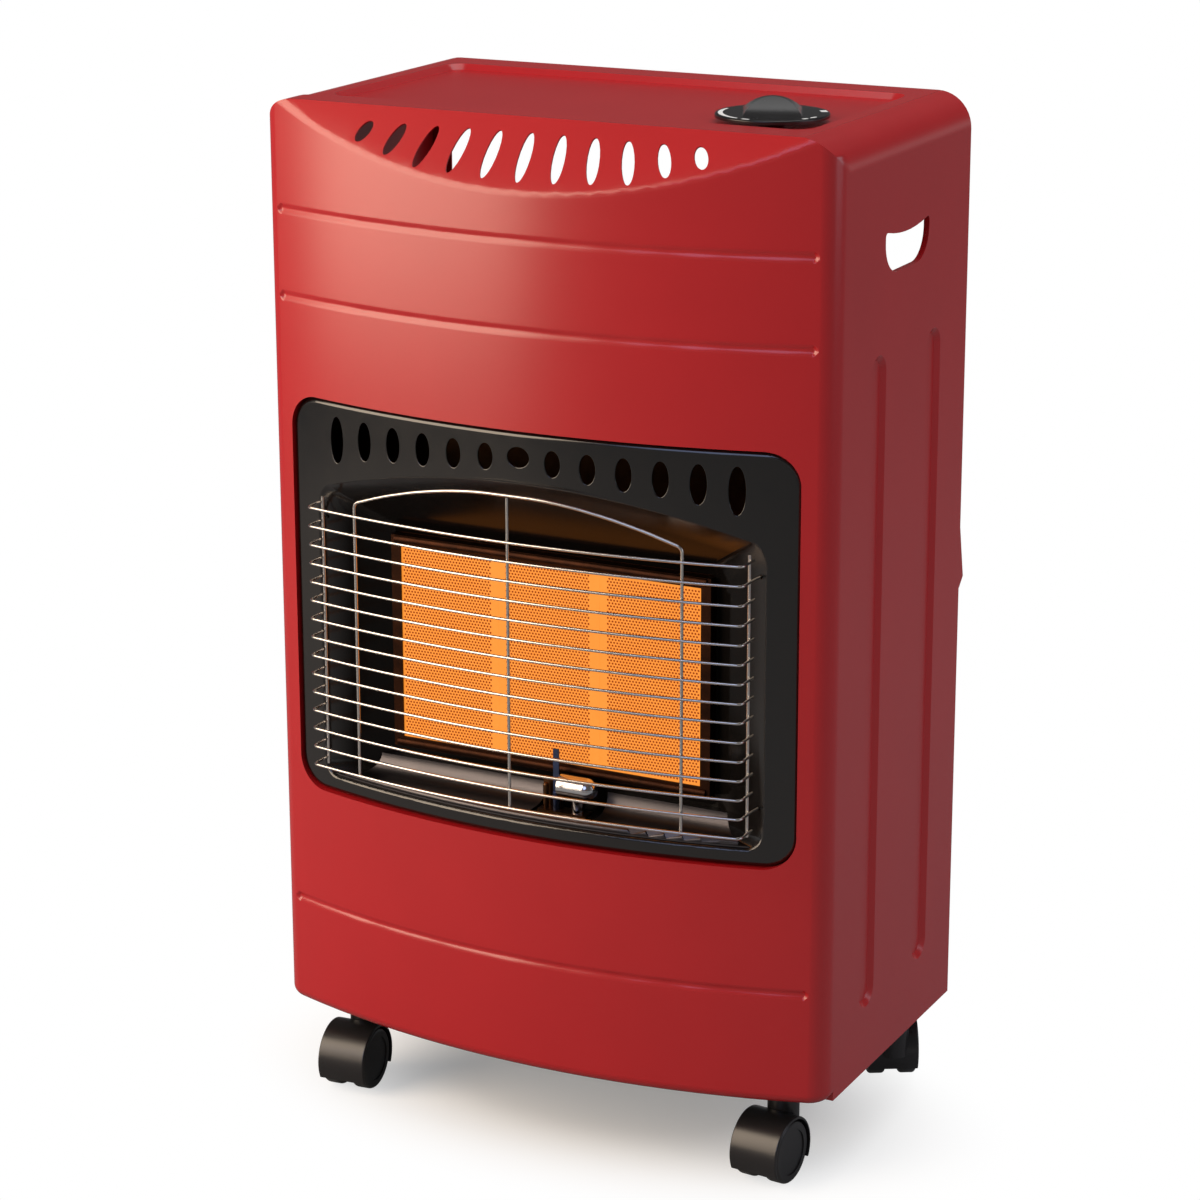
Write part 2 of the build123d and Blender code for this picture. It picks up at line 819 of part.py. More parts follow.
def plaque(step):
    x = step * plaque_pitch
    block = box_between(
        (x - plaque_width / 2, depth_y(glow_depth), plaque_low),
        (x + plaque_width / 2, depth_y(plaque_back), plaque_low + plaque_height),
    )
    field = plaque_width - 2 * gasket_band
    tall = plaque_height / 2 - gasket_band
    return block - box_between(
        (x - field / 2, depth_y(glow_depth) - overrun, plaque_middle_z - tall),
        (x + field / 2, depth_y(glow_depth) + seat_gap, plaque_middle_z + tall),
    )


def plaque_gaskets():
    gaskets = []
    front = depth_y(plaque_back + running_gap)
    back = front + gasket_thick
    for step in (-1, 0, 1):
        x = step * plaque_pitch
        half = plaque_width / 2
        ring = box_between((x - half, front, plaque_low), (x + half, back, plaque_low + plaque_height))
        ring -= box_between(
            (x - half + gasket_band, front - overrun, plaque_low + gasket_band),
            (x + half - gasket_band, back + overrun, plaque_low + plaque_height - gasket_band),
        )
        gaskets.append(ring)
    return Compound(children=gaskets)


def burner_head(step):
    x = step * plaque_pitch
    half = plaque_width / 2
    head = box_between(
        (x - half, depth_y(head_front), plaque_low),
        (x + half, depth_y(head_front + head_deep), plaque_low + plaque_height),
    )
    head = fillet(head.faces().sort_by(Axis.Y)[-1].edges(), head_edge)
    place = Pos(x, depth_y(mixer_depth), mixer_low)
    head += place * Cylinder(mixer_radius, mixer_high - mixer_low, align=upper)
    return head - place * Cylinder(mixer_bore, mixer_bore_deep, align=upper)


def injectors():
    solids = []
    for step in (-1, 0, 1):
        place = Pos(step * plaque_pitch, depth_y(mixer_depth), injector_low)
        length = mixer_low - injector_low
        stem = Cylinder(injector_radius, length - injector_collar_height, align=upper)
        stem += Cylinder(nozzle_radius, length + nozzle_rise, align=upper)
        collar_z = bracket_low + sheet - injector_low
        stem += Pos(0, 0, collar_z) * Cylinder(injector_collar, injector_collar_height, align=upper)
        solids.append(place * stem)
    return Compound(children=solids)


def injector_bracket():
    back = depth_y(shield_depth)
    bracket = box_between(
        (-bracket_half, back - bracket_deep, bracket_low), (bracket_half, back, bracket_low + sheet)
    )
    bracket += box_between(
        (-bracket_half, back - sheet, bracket_low), (bracket_half, back, bracket_low + bracket_flange)
    )
    for step in (-1, 0, 1):
        place = Pos(step * plaque_pitch, depth_y(mixer_depth), bracket_low)
        bracket -= place * Cylinder(injector_radius + running_gap, 2 * overrun)
    return bracket


def heat_shield():
    front = depth_y(shield_depth)
    shield = box_between((-shield_half, front, shield_low), (shield_half, front + sheet, shield_high))
    reach = bow_y(shield_half, bezel_deep + seat_gap)
    for side in (-1, 1):
        flange = box_between(
            (shield_half - sheet, reach + sheet, shield_flange_low), (shield_half, front, shield_flange_high)
        )
        shield += flange if side > 0 else mirror(flange, about=Plane.YZ)
    return shield


def guard_outline(tail):
    # Right half of a cross wire from its free end to the middle, drawn in X and Y
    bend_y = guard_y(guard_half)
    return [*tail, (guard_half, bend_y + guard_return), (guard_half, bend_y)]


def guard_hook_end():
    bend_y = guard_y(guard_half) + guard_return
    angle = math.radians(guard_hook_angle)
    return (guard_half + guard_hook * math.sin(angle), bend_y + guard_hook * math.cos(angle))


def guard_hook_path(wire):
    z = guard_low + guard_pitch * wire
    x, y = guard_hook_end()
    return Line((guard_half, guard_y(guard_half) + guard_return, z), (x, y, z))


def guard_wire(hooked):
    right = guard_outline([guard_hook_end()] if hooked else [])
    left = [(-x, y) for x, y in reversed(right)]
    bow = ThreePointArc(right[-1], (0, guard_front_y), left[0])
    edges = [Line(a, b) for a, b in zip(right, right[1:])] + [bow]
    edges += [Line(a, b) for a, b in zip(left, left[1:])]
    path = Wire(edges)
    corners = [v for v in path.vertices() if (v.X, v.Y) not in (right[0], left[-1])]
    ends = [path @ 0, path @ 1]
    corners = [v for v in corners if all((Vector(v) - end).length > overrun for end in ends)]
    path = path.fillet_2d(guard_bend, corners)
    return sweep(Plane(path @ 0, z_dir=path % 0) * Circle(wire_radius), path=path)


def guard_cross_wires():
    plain = guard_wire(False)
    hooked = guard_wire(True)
    wires = []
    for wire in range(guard_wires):
        shape = hooked if wire in hook_wires else plain
        wires.append(Pos(0, 0, guard_low + guard_pitch * wire) * shape)
    return Compound(children=wires)


def upright_y(x):
    return guard_y(x) + wire_radius + upright_radius + running_gap


def guard_portal_wire():
    rise = portal_crown - portal_shoulder
    curve = portal_curve_share * portal_half ** 2 / (2 * rise)
    points = [(portal_half, portal_foot), (portal_half, portal_shoulder)]
    for share in portal_arch_shares:
        x = portal_half * share
        points.append((x, portal_shoulder + rise * (1 - share ** 2)))
    points += [(-x, z) for x, z in reversed(points)]
    path = FilletPolyline(
        *[(x, upright_y(x), z) for x, z in points],
        radius=[portal_bend] + [curve] * (2 * len(portal_arch_shares)) + [portal_bend],
    )
    return sweep(Plane(path @ 0, z_dir=path % 0) * Circle(upright_radius), path=path)


def guard_centre_upright():
    top = portal_crown - 2 * upright_radius
    place = Pos(0, upright_y(0), portal_foot)
    return place * Cylinder(upright_radius, top - portal_foot, align=upper)


def guard_side_uprights():
    x = guard_half - wire_radius - upright_radius - running_gap
    y = guard_y(guard_half) + guard_return - side_upright_inset
    length = guard_pitch * (guard_wires - 1) + 2 * guard_bend
    rod = Cylinder(upright_radius, length, align=upper)
    return Compound(children=[Pos(side * x, y, guard_low - guard_bend) * rod for side in (-1, 1)])


def pilot_bracket():
    base = dish_low
    front = depth_y(pilot_depth) - pilot_bracket_deep / 2
    rear = front + pilot_bracket_deep
    low = probe_x - 2 * probe_radius
    plate = box_between((low, front, base), (pilot_pipe_x + pilot_radius, rear, base + sheet))
    plate += box_between((low, rear - sheet, base), (electrode_x + electrode_radius, rear, base + pilot_ear))
    plate -= pilot_hole()
    for x, radius in ((electrode_x, electrode_radius), (probe_x, probe_radius)):
        plate -= Pos(x, depth_y(pilot_depth), base) * Cylinder(radius + running_gap, 4 * sheet)
    return plate


def pilot_burner():
    # Bright round-nosed cup on a short foot, with its mouth to the electrode
    place = Pos(pilot_pipe_x, depth_y(pilot_depth), pilot_height)
    nose = pilot_end - pilot_radius
    rod = Rot(0, 90, 0) * Cylinder(pilot_radius, nose - pilot_start, align=upper)
    body = Pos(pilot_start - pilot_pipe_x, 0, 0) * rod + Pos(nose - pilot_pipe_x, 0, 0) * Sphere(pilot_radius)
    foot = dish_low + sheet - pilot_height
    body += Pos(0, 0, foot) * Cylinder(pilot_foot_radius, -foot, align=upper)
    bore = Pos(0, 0, foot) * Cylinder(pilot_pipe_radius + running_gap, pilot_foot_radius, align=upper)
    return place * (body - bore)


def spark_electrode():
    base = dish_low
    place = Pos(electrode_x, depth_y(pilot_depth), base)
    post = Cylinder(electrode_radius, electrode_height, align=upper)
    blade = Box(blade_width, blade_thick, blade_top - base, align=upper)
    return place * (post + blade)


def thermocouple():
    place = Pos(probe_x, depth_y(pilot_depth), dish_low)
    tip = Pos(0, 0, probe_height) * Sphere(probe_radius)
    return place * (Cylinder(probe_radius, probe_height, align=upper) + tip)


def gas_valve():
    place = Pos(knob_x, knob_y, 0)
    body = Pos(0, 0, valve_low) * Box(valve_width, valve_deep, valve_high - valve_low, align=upper)
    body = fillet(body.edges().filter_by(Axis.Z), valve_edge)
    body += Pos(0, 0, valve_high) * Cylinder(valve_neck_radius, valve_neck, align=upper)
    for x, depth in valve_ports():
        port = Cylinder(port_radius, port_drop, align=lower)
        body += Pos(x - knob_x, depth_y(depth) - knob_y, valve_low) * port
    body -= Pos(0, 0, valve_low + overrun) * Cylinder(
        spindle_radius + seat_gap, valve_high - valve_low + valve_neck, align=upper
    )
    body -= Pos(0, 0, plug_low - running_gap) * Cylinder(
        plug_radius + running_gap, plug_height + 2 * running_gap, align=upper
    )
    return place * body


def valve_ports():
    # X and depth of the three burner ports and the pilot port
    burner = [(knob_x + (step - 1.5) * valve_port_pitch, pipe_depth) for step in range(3)]
    return burner + [(knob_x + 1.5 * valve_port_pitch, pilot_pipe_depth)]


def valve_plug():
    place = Pos(knob_x, knob_y, plug_low)
    plug = Cylinder(plug_radius, plug_height, align=upper)
    return place * (plug - Cylinder(spindle_radius + running_gap, 4 * plug_height))


def valve_hanger():
    under = tray_floor_z - sheet
    leg = hanger_leg_half
    front = knob_y - hanger_deep / 2
    rear = knob_y + hanger_deep / 2
    hanger = box_between((knob_x - leg, front, valve_high), (knob_x + leg, rear, valve_high + sheet))
    for side in (-1, 1):
        inner = knob_x + side * leg
        outer = inner + side * hanger_foot
        low, high = sorted((inner, inner - side * sheet))
        hanger += box_between((low, front, valve_high), (high, rear, under))
        low, high = sorted((inner - side * sheet, outer))
        hanger += box_between((low, front, under - sheet), (high, rear, under))
    return hanger - Pos(knob_x, knob_y, valve_high) * Cylinder(valve_neck_radius + running_gap, 2 * overrun)


def valve_nut():
    place = Pos(knob_x, knob_y, valve_high + sheet)
    nut = extrude(RegularPolygon(nut_across / 2, 6, major_radius=False), amount=nut_thick)
    return place * (nut - Cylinder(valve_neck_radius + running_gap, 4 * nut_thick))


def knob_under():
    return tray_floor_z + knob_lift


def valve_spindle():
    top = knob_under() + knob_rim / 2
    return Pos(knob_x, knob_y, spindle_foot) * Cylinder(spindle_radius, top - spindle_foot, align=upper)


def control_knob():
    # Round disc with a scooped ridge across it to grip
    disc = Cylinder(knob_radius, knob_rim, align=upper)
    disc = fillet(disc.edges().group_by(Axis.Z)[-1], knob_edge)
    crown = knob_rim + grip_height
    half = grip_length / 2
    arc = ThreePointArc((-half, knob_rim / 2), (0, crown), (half, knob_rim / 2))
    outline = make_face([arc, Line(arc @ 1, arc @ 0)])
    grip = extrude(Plane.XZ * outline, amount=grip_reach, both=True)
    run = grip_reach - grip_thick / 2
    drop = grip_height + scoop_dip
    scoop = (run ** 2 + drop ** 2) / (2 * drop)
    for side in (-1, 1):
        place = Pos(0, side * grip_reach, knob_rim - scoop_dip + scoop)
        grip -= place * Rot(0, 90, 0) * Cylinder(scoop, 2 * grip_length)
    knob = disc + grip
    knob += Cylinder(hub_radius, hub_depth, align=lower)
    bore = Pos(0, 0, -hub_depth) * Cylinder(
        spindle_radius + running_gap, hub_depth + knob_rim / 2 + running_gap, align=upper
    )
    return Pos(knob_x, knob_y, knob_under()) * Rot(0, 0, knob_angle) * (knob - bore)


def hose_inlet():
    start = knob_y + valve_deep / 2
    place = Pos(knob_x, start, inlet_height) * Rot(-90, 0, 0)
    collar = Cylinder(inlet_collar_radius, inlet_collar, align=upper)
    spigot = Cylinder(spigot_radius, inlet_collar + spigot_length, align=upper)
    return place * (collar + spigot)


def rod_along(points, radius, bend):
    path = FilletPolyline(*points, radius=bend)
    return sweep(Plane(path @ 0, z_dir=path % 0) * Circle(radius), path=path)


def burner_pipe(step):
    port, depth = valve_ports()[step + 1]
    x = step * plaque_pitch
    y = depth_y(depth)
    run = valve_low - pipe_run_drops[step + 1]
    nozzle_y = depth_y(mixer_depth)
    top = valve_low - port_drop
    points = [(port, y, top), (port, y, run), (x, y, run), (x, y, pipe_sag)]
    points += [(x, nozzle_y, pipe_sag), (x, nozzle_y, injector_low)]
    return rod_along(points, pipe_radius, pipe_bend)


def pilot_pipe():
    port, depth = valve_ports()[-1]
    y = depth_y(depth)
    front = depth_y(pilot_depth)
    low = pilot_pipe_low
    points = [(port, y, valve_low - port_drop), (port, y, low), (pilot_pipe_x, y, low)]
    points += [(pilot_pipe_x, front, low), (pilot_pipe_x, front, dish_low + sheet + pilot_foot_radius)]
    return rod_along(points, pilot_pipe_radius, pilot_pipe_bend)


def caster_housing():
    axle = Pos(0, -caster_trail, wheel_radius) * Rot(0, 90, 0)
    hood = Cylinder(hood_radius, hood_width)
    hood = axle * fillet(hood.edges().filter_by(GeomType.CIRCLE), hood_edge)
    neck_top = base_z - socket_flange - caster_play
    hood += Pos(0, 0, wheel_radius) * Cylinder(neck_radius, neck_top - wheel_radius, align=upper)
    pocket = Cylinder(wheel_radius + hood_clearance, hood_width, align=upper)
    for turn in (90, -90):
        hood -= Pos(0, -caster_trail, wheel_radius) * Rot(0, turn, 0) * Pos(0, 0, web_half) * pocket
    hood -= Pos(0, 0, -overrun) * Box(4 * hood_radius, 4 * hood_radius, hood_skirt + overrun, align=upper)
    hood -= axle * Cylinder(axle_radius + running_gap, 2 * hood_width)
    return hood - Pos(0, 0, stem_foot) * Cylinder(stem_radius + running_gap, stem_top, align=upper)


def caster_stem():
    return Pos(0, 0, stem_foot + running_gap) * Cylinder(stem_radius, stem_top - stem_foot, align=upper)


def caster_axle():
    return Pos(0, -caster_trail, wheel_radius) * Rot(0, 90, 0) * Cylinder(axle_radius, axle_length)


def caster_wheel(turn):
    wheel = Cylinder(wheel_radius, wheel_width, align=upper)
    wheel = fillet(wheel.edges(), wheel_edge)
    wheel -= Pos(0, 0, wheel_width - wheel_dish) * Cylinder(wheel_dish_radius, wheel_dish, align=upper)
    bore = axle_length / 2 - web_half - side_play + caster_play
    wheel -= Cylinder(axle_radius + running_gap, bore, align=upper)
    place = Pos(0, -caster_trail, wheel_radius) * Rot(0, turn, 0)
    return place * Pos(0, 0, web_half + side_play) * wheel


def all_pieces():
    pieces = {
        "front_panel": front_panel(),
        "cabinet_shell": cabinet_shell(),
        "base_plate": base_plate(),
        "base_screws": base_screws(),
        "caster_sockets": caster_sockets(),
        "rear_cover": rear_cover(),
        "hinge_pins": hinge_pins(),
        "burner_surround": burner_surround(),
        "reflector_tray": reflector_tray(),
        "plaque_frame": plaque_frame(),
        "plaque_gaskets": plaque_gaskets(),
        "injectors": injectors(),
        "injector_bracket": injector_bracket(),
        "heat_shield": heat_shield(),
        "guard_cross_wires": guard_cross_wires(),
        "guard_portal_wire": guard_portal_wire(),
        "guard_centre_upright": guard_centre_upright(),
        "guard_side_uprights": guard_side_uprights(),
        "pilot_bracket": pilot_bracket(),
        "pilot_burner": pilot_burner(),
        "pilot_pipe": pilot_pipe(),
        "spark_electrode": spark_electrode(),
        "thermocouple": thermocouple(),
        "gas_valve": gas_valve(),
        "valve_plug": valve_plug(),
        "valve_hanger": valve_hanger(),
        "valve_nut": valve_nut(),
        "valve_spindle": valve_spindle(),
        "control_knob": control_knob(),
        "hose_inlet": hose_inlet(),
    }
    for step, side in ((-1, "left"), (0, "centre"), (1, "right")):
        pieces[f"plaque_{side}"] = plaque(step)
        pieces[f"burner_head_{side}"] = burner_head(step)
        pieces[f"burner_pipe_{side}"] = burner_pipe(step)
    for corner, x, y, turn in caster_places():
        place = Pos(x, y, 0) * Rot(0, 0, turn)
        pieces[f"caster_housing_{corner}"] = place * caster_housing()
        pieces[f"caster_stem_{corner}"] = place * caster_stem()
        pieces[f"caster_axle_{corner}"] = place * caster_axle()
        pieces[f"caster_wheel_{corner}_a"] = place * caster_wheel(90)
        pieces[f"caster_wheel_{corner}_b"] = place * caster_wheel(-90)
    return pieces


os.makedirs("parts", exist_ok=True)
for node, shape in all_pieces().items():
    export_step(shape, f"parts/{node}.step")
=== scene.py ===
import bpy
import bmesh
import math
import numpy as np
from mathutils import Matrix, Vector


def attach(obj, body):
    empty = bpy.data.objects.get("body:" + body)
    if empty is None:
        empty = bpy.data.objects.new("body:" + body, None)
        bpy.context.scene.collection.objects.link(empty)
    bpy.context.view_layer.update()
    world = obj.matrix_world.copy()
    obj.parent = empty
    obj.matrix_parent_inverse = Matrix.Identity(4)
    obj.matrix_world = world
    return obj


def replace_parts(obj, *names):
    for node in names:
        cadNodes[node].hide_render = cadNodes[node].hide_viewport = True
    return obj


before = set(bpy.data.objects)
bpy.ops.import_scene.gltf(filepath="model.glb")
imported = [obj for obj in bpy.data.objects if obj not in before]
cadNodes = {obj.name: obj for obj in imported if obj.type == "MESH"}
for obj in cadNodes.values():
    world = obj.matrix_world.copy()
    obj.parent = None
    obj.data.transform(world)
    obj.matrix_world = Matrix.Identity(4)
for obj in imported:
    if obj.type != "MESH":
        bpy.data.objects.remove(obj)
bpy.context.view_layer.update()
mm = 0.001
scene = bpy.context.scene
scene.view_settings.view_transform = "Standard"
print("frame loaded:", len(cadNodes), "nodes")


def linear(hexText):
    # sRGB hex to the linear colour that sockets take
    parts = [int(hexText[i:i + 2], 16) / 255 for i in (1, 3, 5)]
    return tuple(p / 12.92 if p <= 0.04045 else ((p + 0.055) / 1.055) ** 2.4 for p in parts) + (1.0,)


def addObject(name, data):
    made = bpy.data.objects.new(name, data)
    scene.collection.objects.link(made)
    return made


def addNode(tree, kind, settings=None, inputs=None):
    node = tree.nodes.new(kind)
    for key, value in (settings or {}).items():
        setattr(node, key, value)
    for key, value in (inputs or {}).items():
        if isinstance(value, bpy.types.NodeSocket):
            tree.links.new(value, node.inputs[key])
        else:
            node.inputs[key].default_value = value
    return node


def calc(tree, operation, *values):
    return addNode(tree, "ShaderNodeMath", {"operation": operation}, dict(enumerate(values))).outputs[0]


def vectorCalc(tree, operation, *values):
    return addNode(tree, "ShaderNodeVectorMath", {"operation": operation}, dict(enumerate(values))).outputs


def mapOf(tree, value, fromRange, toRange=(0.0, 1.0), kind="LINEAR"):
    return addNode(tree, "ShaderNodeMapRange", {"interpolation_type": kind}, {
        "Value": value, "From Min": fromRange[0], "From Max": fromRange[1],
        "To Min": toRange[0], "To Max": toRange[1]}).outputs["Result"]


def newMaterial(name, settings):
    material = bpy.data.materials.new(name)
    material.use_nodes = True
    tree = material.node_tree
    shader = tree.nodes["Principled BSDF"]
    for key, value in settings.items():
        shader.inputs[key].default_value = value
    place = addNode(tree, "ShaderNodeTexCoord").outputs["Object"]
    return material, tree, shader, place


softDetail, fineDetail = 2.0, 3.0


def noiseOf(tree, place, sizeMm, detail=softDetail):
    return addNode(tree, "ShaderNodeTexNoise", None, {
        "Vector": place, "Scale": 1 / (sizeMm * mm), "Detail": detail}).outputs["Fac"]


def mixOf(tree, factor, first, second):
    # Each colour is a hex text or another node's socket
    first, second = (c if isinstance(c, bpy.types.NodeSocket) else linear(c) for c in (first, second))
    return addNode(tree, "ShaderNodeMix", {"data_type": "RGBA"}, {"Factor": factor, 6: first, 7: second}).outputs[2]


def tint(tree, shader, factor, first, second):
    tree.links.new(mixOf(tree, factor, first, second), shader.inputs["Base Color"])


def sheen(tree, shader, factor, roughness):
    tree.links.new(mapOf(tree, factor, (0.0, 1.0), roughness), shader.inputs["Roughness"])


def grain(tree, shader, height, strength, deepMm):
    bump = addNode(tree, "ShaderNodeBump", None, {"Height": height, "Strength": strength, "Distance": deepMm * mm})
    tree.links.new(bump.outputs["Normal"], shader.inputs["Normal"])


# The front panel and the bezel follow one round bow; normals there are set from its axis
bow = {"chordMm": 408.0, "riseMm": 34.0, "noseMm": -130.75, "withinMm": 0.06, "turnDeg": 14}
bowRadius = ((bow["chordMm"] / 2) ** 2 + bow["riseMm"] ** 2) / (2 * bow["riseMm"]) * mm
bowAxisY = bow["noseMm"] * mm + bowRadius

# Powder coat on sheet steel: satin, with a fine orange peel that breaks up the highlight
powderCoat = {"red": "#B4191F", "deepRed": "#AC161C", "ior": 1.64, "roughness": (0.24, 0.28), "peelMm": 1.1,
              "patchMm": 60, "bump": 0.006, "bumpMm": 0.1}
redPowderCoat, tree, shader, place = newMaterial("redPowderCoat", {"IOR": powderCoat["ior"]})
peel = noiseOf(tree, place, powderCoat["peelMm"])
patch = noiseOf(tree, place, powderCoat["patchMm"], fineDetail)
tint(tree, shader, patch, powderCoat["red"], powderCoat["deepRed"])
sheen(tree, shader, peel, powderCoat["roughness"])
grain(tree, shader, peel, powderCoat["bump"], powderCoat["bumpMm"])

# Vitreous enamel fired on pressed steel: near black, slightly wavy, glossy on the bezel; in the dish its reflections
# are cut down as painted shade
enamel = {"black": "#0B0A0A", "warm": "#120F0D", "ior": 1.7, "roughness": (0.11, 0.17), "waveMm": 14, "bump": 0.05,
          "bumpMm": 0.4, "glossMm": 6, "shadedMm": 17, "mirrorLevels": (0.07, 0.5)}
blackEnamel, tree, shader, place = newMaterial("blackEnamel", {"IOR": enamel["ior"]})
wave = noiseOf(tree, place, enamel["waveMm"])
tint(tree, shader, wave, enamel["black"], enamel["warm"])
sheen(tree, shader, wave, enamel["roughness"])
# Painted shade: the reflection level falls from the bezel face into the dish, so the recess reads dark
fromAxis = vectorCalc(tree, "MULTIPLY_ADD", place, (1, 1, 0), (0, -bowAxisY, 0))[0]
reach = vectorCalc(tree, "LENGTH", fromAxis)["Value"]
dishReflectionShade = mapOf(tree, reach, (bowRadius - enamel["shadedMm"] * mm, bowRadius - enamel["glossMm"] * mm),
               enamel["mirrorLevels"])
tree.links.new(dishReflectionShade, shader.inputs["Specular IOR Level"])
grain(tree, shader, wave, enamel["bump"], enamel["bumpMm"])

# Bright chrome on drawn wire: mirror-like with faint draw marks
wireFinish = {"chrome": "#D2CEC9", "roughness": (0.16, 0.3), "marksMm": 0.8}
chromedWire, tree, shader, place = newMaterial("chromedWire", {
    "Base Color": linear(wireFinish["chrome"]), "Metallic": 1.0})
sheen(tree, shader, noiseOf(tree, place, wireFinish["marksMm"]), wireFinish["roughness"])

# Rolled stainless sheet, polished along its length, its colour darkened as painted shade for the dim room it mirrors:
# a sheen that carries the plaques' glow
polish = {"steel": "#5A5759", "roughness": (0.3, 0.42), "lineMm": 0.7, "lengthMm": 40}
polishedSteel, tree, shader, place = newMaterial("polishedSteel", {
    "Base Color": linear(polish["steel"]), "Metallic": 1.0})
lineScale, lengthScale = 1 / (polish["lineMm"] * mm), 1 / (polish["lengthMm"] * mm)
along = addNode(tree, "ShaderNodeMapping", None, {"Vector": place, "Scale": (lengthScale, lineScale, lineScale)})
lines = addNode(tree, "ShaderNodeTexNoise", None, {"Vector": along.outputs["Vector"], "Scale": 1.0})
sheen(tree, shader, lines.outputs["Fac"], polish["roughness"])

# Nickel plate on a turned cup: a clear bright mirror
nickel = {"bright": "#D6D8DC", "roughness": (0.08, 0.16), "marksMm": 1.5}
platedCup, tree, shader, place = newMaterial("platedCup", {
    "Base Color": linear(nickel["bright"]), "Metallic": 1.0})
sheen(tree, shader, noiseOf(tree, place, nickel["marksMm"]), nickel["roughness"])

# Spring steel blued by the flame: slate blue with grey patches
blueTint = {"blue": "#4C5C86", "grey": "#454A58", "roughness": 0.3, "patchMm": 6}
bluedSteel, tree, shader, place = newMaterial("bluedSteel", {"Metallic": 1.0, "Roughness": blueTint["roughness"]})
tint(tree, shader, noiseOf(tree, place, blueTint["patchMm"]), blueTint["blue"], blueTint["grey"])

# Steel browned by the burner's heat: straw to dark brown tints in soft patches
heatTint = {"straw": "#7B573A", "brown": "#332219", "roughness": 0.34, "patchMm": 18}
heatTintedSteel, tree, shader, place = newMaterial("heatTintedSteel", {
    "Metallic": 1.0, "Roughness": heatTint["roughness"]})
tint(tree, shader, noiseOf(tree, place, heatTint["patchMm"], fineDetail), heatTint["straw"], heatTint["brown"])

# Steel round the plaques, scaled nearly black by the fire, with brown showing in patches
fireScale = {"black": "#1E1613", "brown": "#46291A", "roughness": 0.42, "patchMm": 9}
scaledSteel, tree, shader, place = newMaterial("scaledSteel", {"Metallic": 1.0, "Roughness": fireScale["roughness"]})
tint(tree, shader, noiseOf(tree, place, fireScale["patchMm"], fineDetail), fireScale["black"], fireScale["brown"])

# Galvanised sheet: dull grey with zinc spangle
zinc = {"pale": "#A9ADAF", "dark": "#8B9093", "roughness": 0.42, "spangleMm": 9}
galvanisedSteel, tree, shader, place = newMaterial("galvanisedSteel", {
    "Metallic": 1.0, "Roughness": zinc["roughness"]})
spangle = addNode(tree, "ShaderNodeTexVoronoi", None, {"Vector": place, "Scale": 1 / (zinc["spangleMm"] * mm)})
tint(tree, shader, spangle.outputs["Color"], zinc["pale"], zinc["dark"])

# Pressed aluminium: pale and even
aluminium = {"pale": "#BDBDBA", "roughness": (0.34, 0.5), "grainMm": 0.6}
pressedAluminium, tree, shader, place = newMaterial("pressedAluminium", {
    "Base Color": linear(aluminium["pale"]), "Metallic": 1.0})
sheen(tree, shader, noiseOf(tree, place, aluminium["grainMm"]), aluminium["roughness"])

# Drawn brass tube and turned fittings: yellow, slightly dulled
brass = {"bright": "#C9A35B", "dull": "#9C7B42", "roughness": 0.3, "patchMm": 12}
yellowBrass, tree, shader, place = newMaterial("yellowBrass", {"Metallic": 1.0, "Roughness": brass["roughness"]})
tint(tree, shader, noiseOf(tree, place, brass["patchMm"]), brass["bright"], brass["dull"])

# Moulded nylon of the casters: dark grey black with a soft sheen
nylon = {"dark": "#1A191A", "light": "#242223", "ior": 1.6, "roughness": 0.3, "grainMm": 0.5, "bump": 0.06,
         "bumpMm": 0.1}
mouldedNylon, tree, shader, place = newMaterial("mouldedNylon", {"IOR": nylon["ior"], "Roughness": nylon["roughness"]})
grit = noiseOf(tree, place, nylon["grainMm"])
tint(tree, shader, grit, nylon["dark"], nylon["light"])
grain(tree, shader, grit, nylon["bump"], nylon["bumpMm"])

# Moulded phenolic of the knob: black and glossier than the casters
phenolic = {"dark": "#131214", "light": "#1B1A1B", "ior": 1.55, "roughness": (0.2, 0.3), "grainMm": 1.5}
blackPhenolic, tree, shader, place = newMaterial("blackPhenolic", {"IOR": phenolic["ior"]})
grit = noiseOf(tree, place, phenolic["grainMm"])
tint(tree, shader, grit, phenolic["dark"], phenolic["light"])
sheen(tree, shader, grit, phenolic["roughness"])

# White pad-print on the knob: matt, thin in places
padPrint = {"white": "#F2F2F0", "thin": "#D5D6D8", "roughness": 0.5, "patchMm": 1.2}
whitePrint, tree, shader, place = newMaterial("whitePrint", {"Roughness": padPrint["roughness"]})
tint(tree, shader, noiseOf(tree, place, padPrint["patchMm"]), padPrint["white"], padPrint["thin"])

# Mineral fibre gasket: pale and soft
fibre = {"pale": "#D8D2C4", "dark": "#B9B1A0", "roughness": 0.9, "fibreMm": 0.8}
gasketFibre, tree, shader, place = newMaterial("gasketFibre", {"Roughness": fibre["roughness"]})
tint(tree, shader, noiseOf(tree, place, fibre["fibreMm"]), fibre["pale"], fibre["dark"])

# Cordierite plaque at working heat: the face glows, the burner holes are deeper orange
glow = {"body": "#8E5426", "bright": "#FC9B38", "warm": "#F78E2C", "hole": "#8A3A0E", "roughness": 0.85,
        "strength": 0.9, "frontMm": -86.7, "deepMm": 0.2, "patchMm": 22}
glowingCeramic, tree, shader, place = newMaterial("glowingCeramic", {
    "Base Color": linear(glow["body"]), "Roughness": glow["roughness"], "Emission Strength": glow["strength"]})
depth = addNode(tree, "ShaderNodeSeparateXYZ", None, {"Vector": place}).outputs["Y"]
inHole = mapOf(tree, depth, (glow["frontMm"] * mm, (glow["frontMm"] + glow["deepMm"]) * mm))
warm = mixOf(tree, noiseOf(tree, place, glow["patchMm"]), glow["bright"], glow["warm"])
tree.links.new(mixOf(tree, inHole, warm, glow["hole"]), shader.inputs["Emission Color"])
print("materials made")

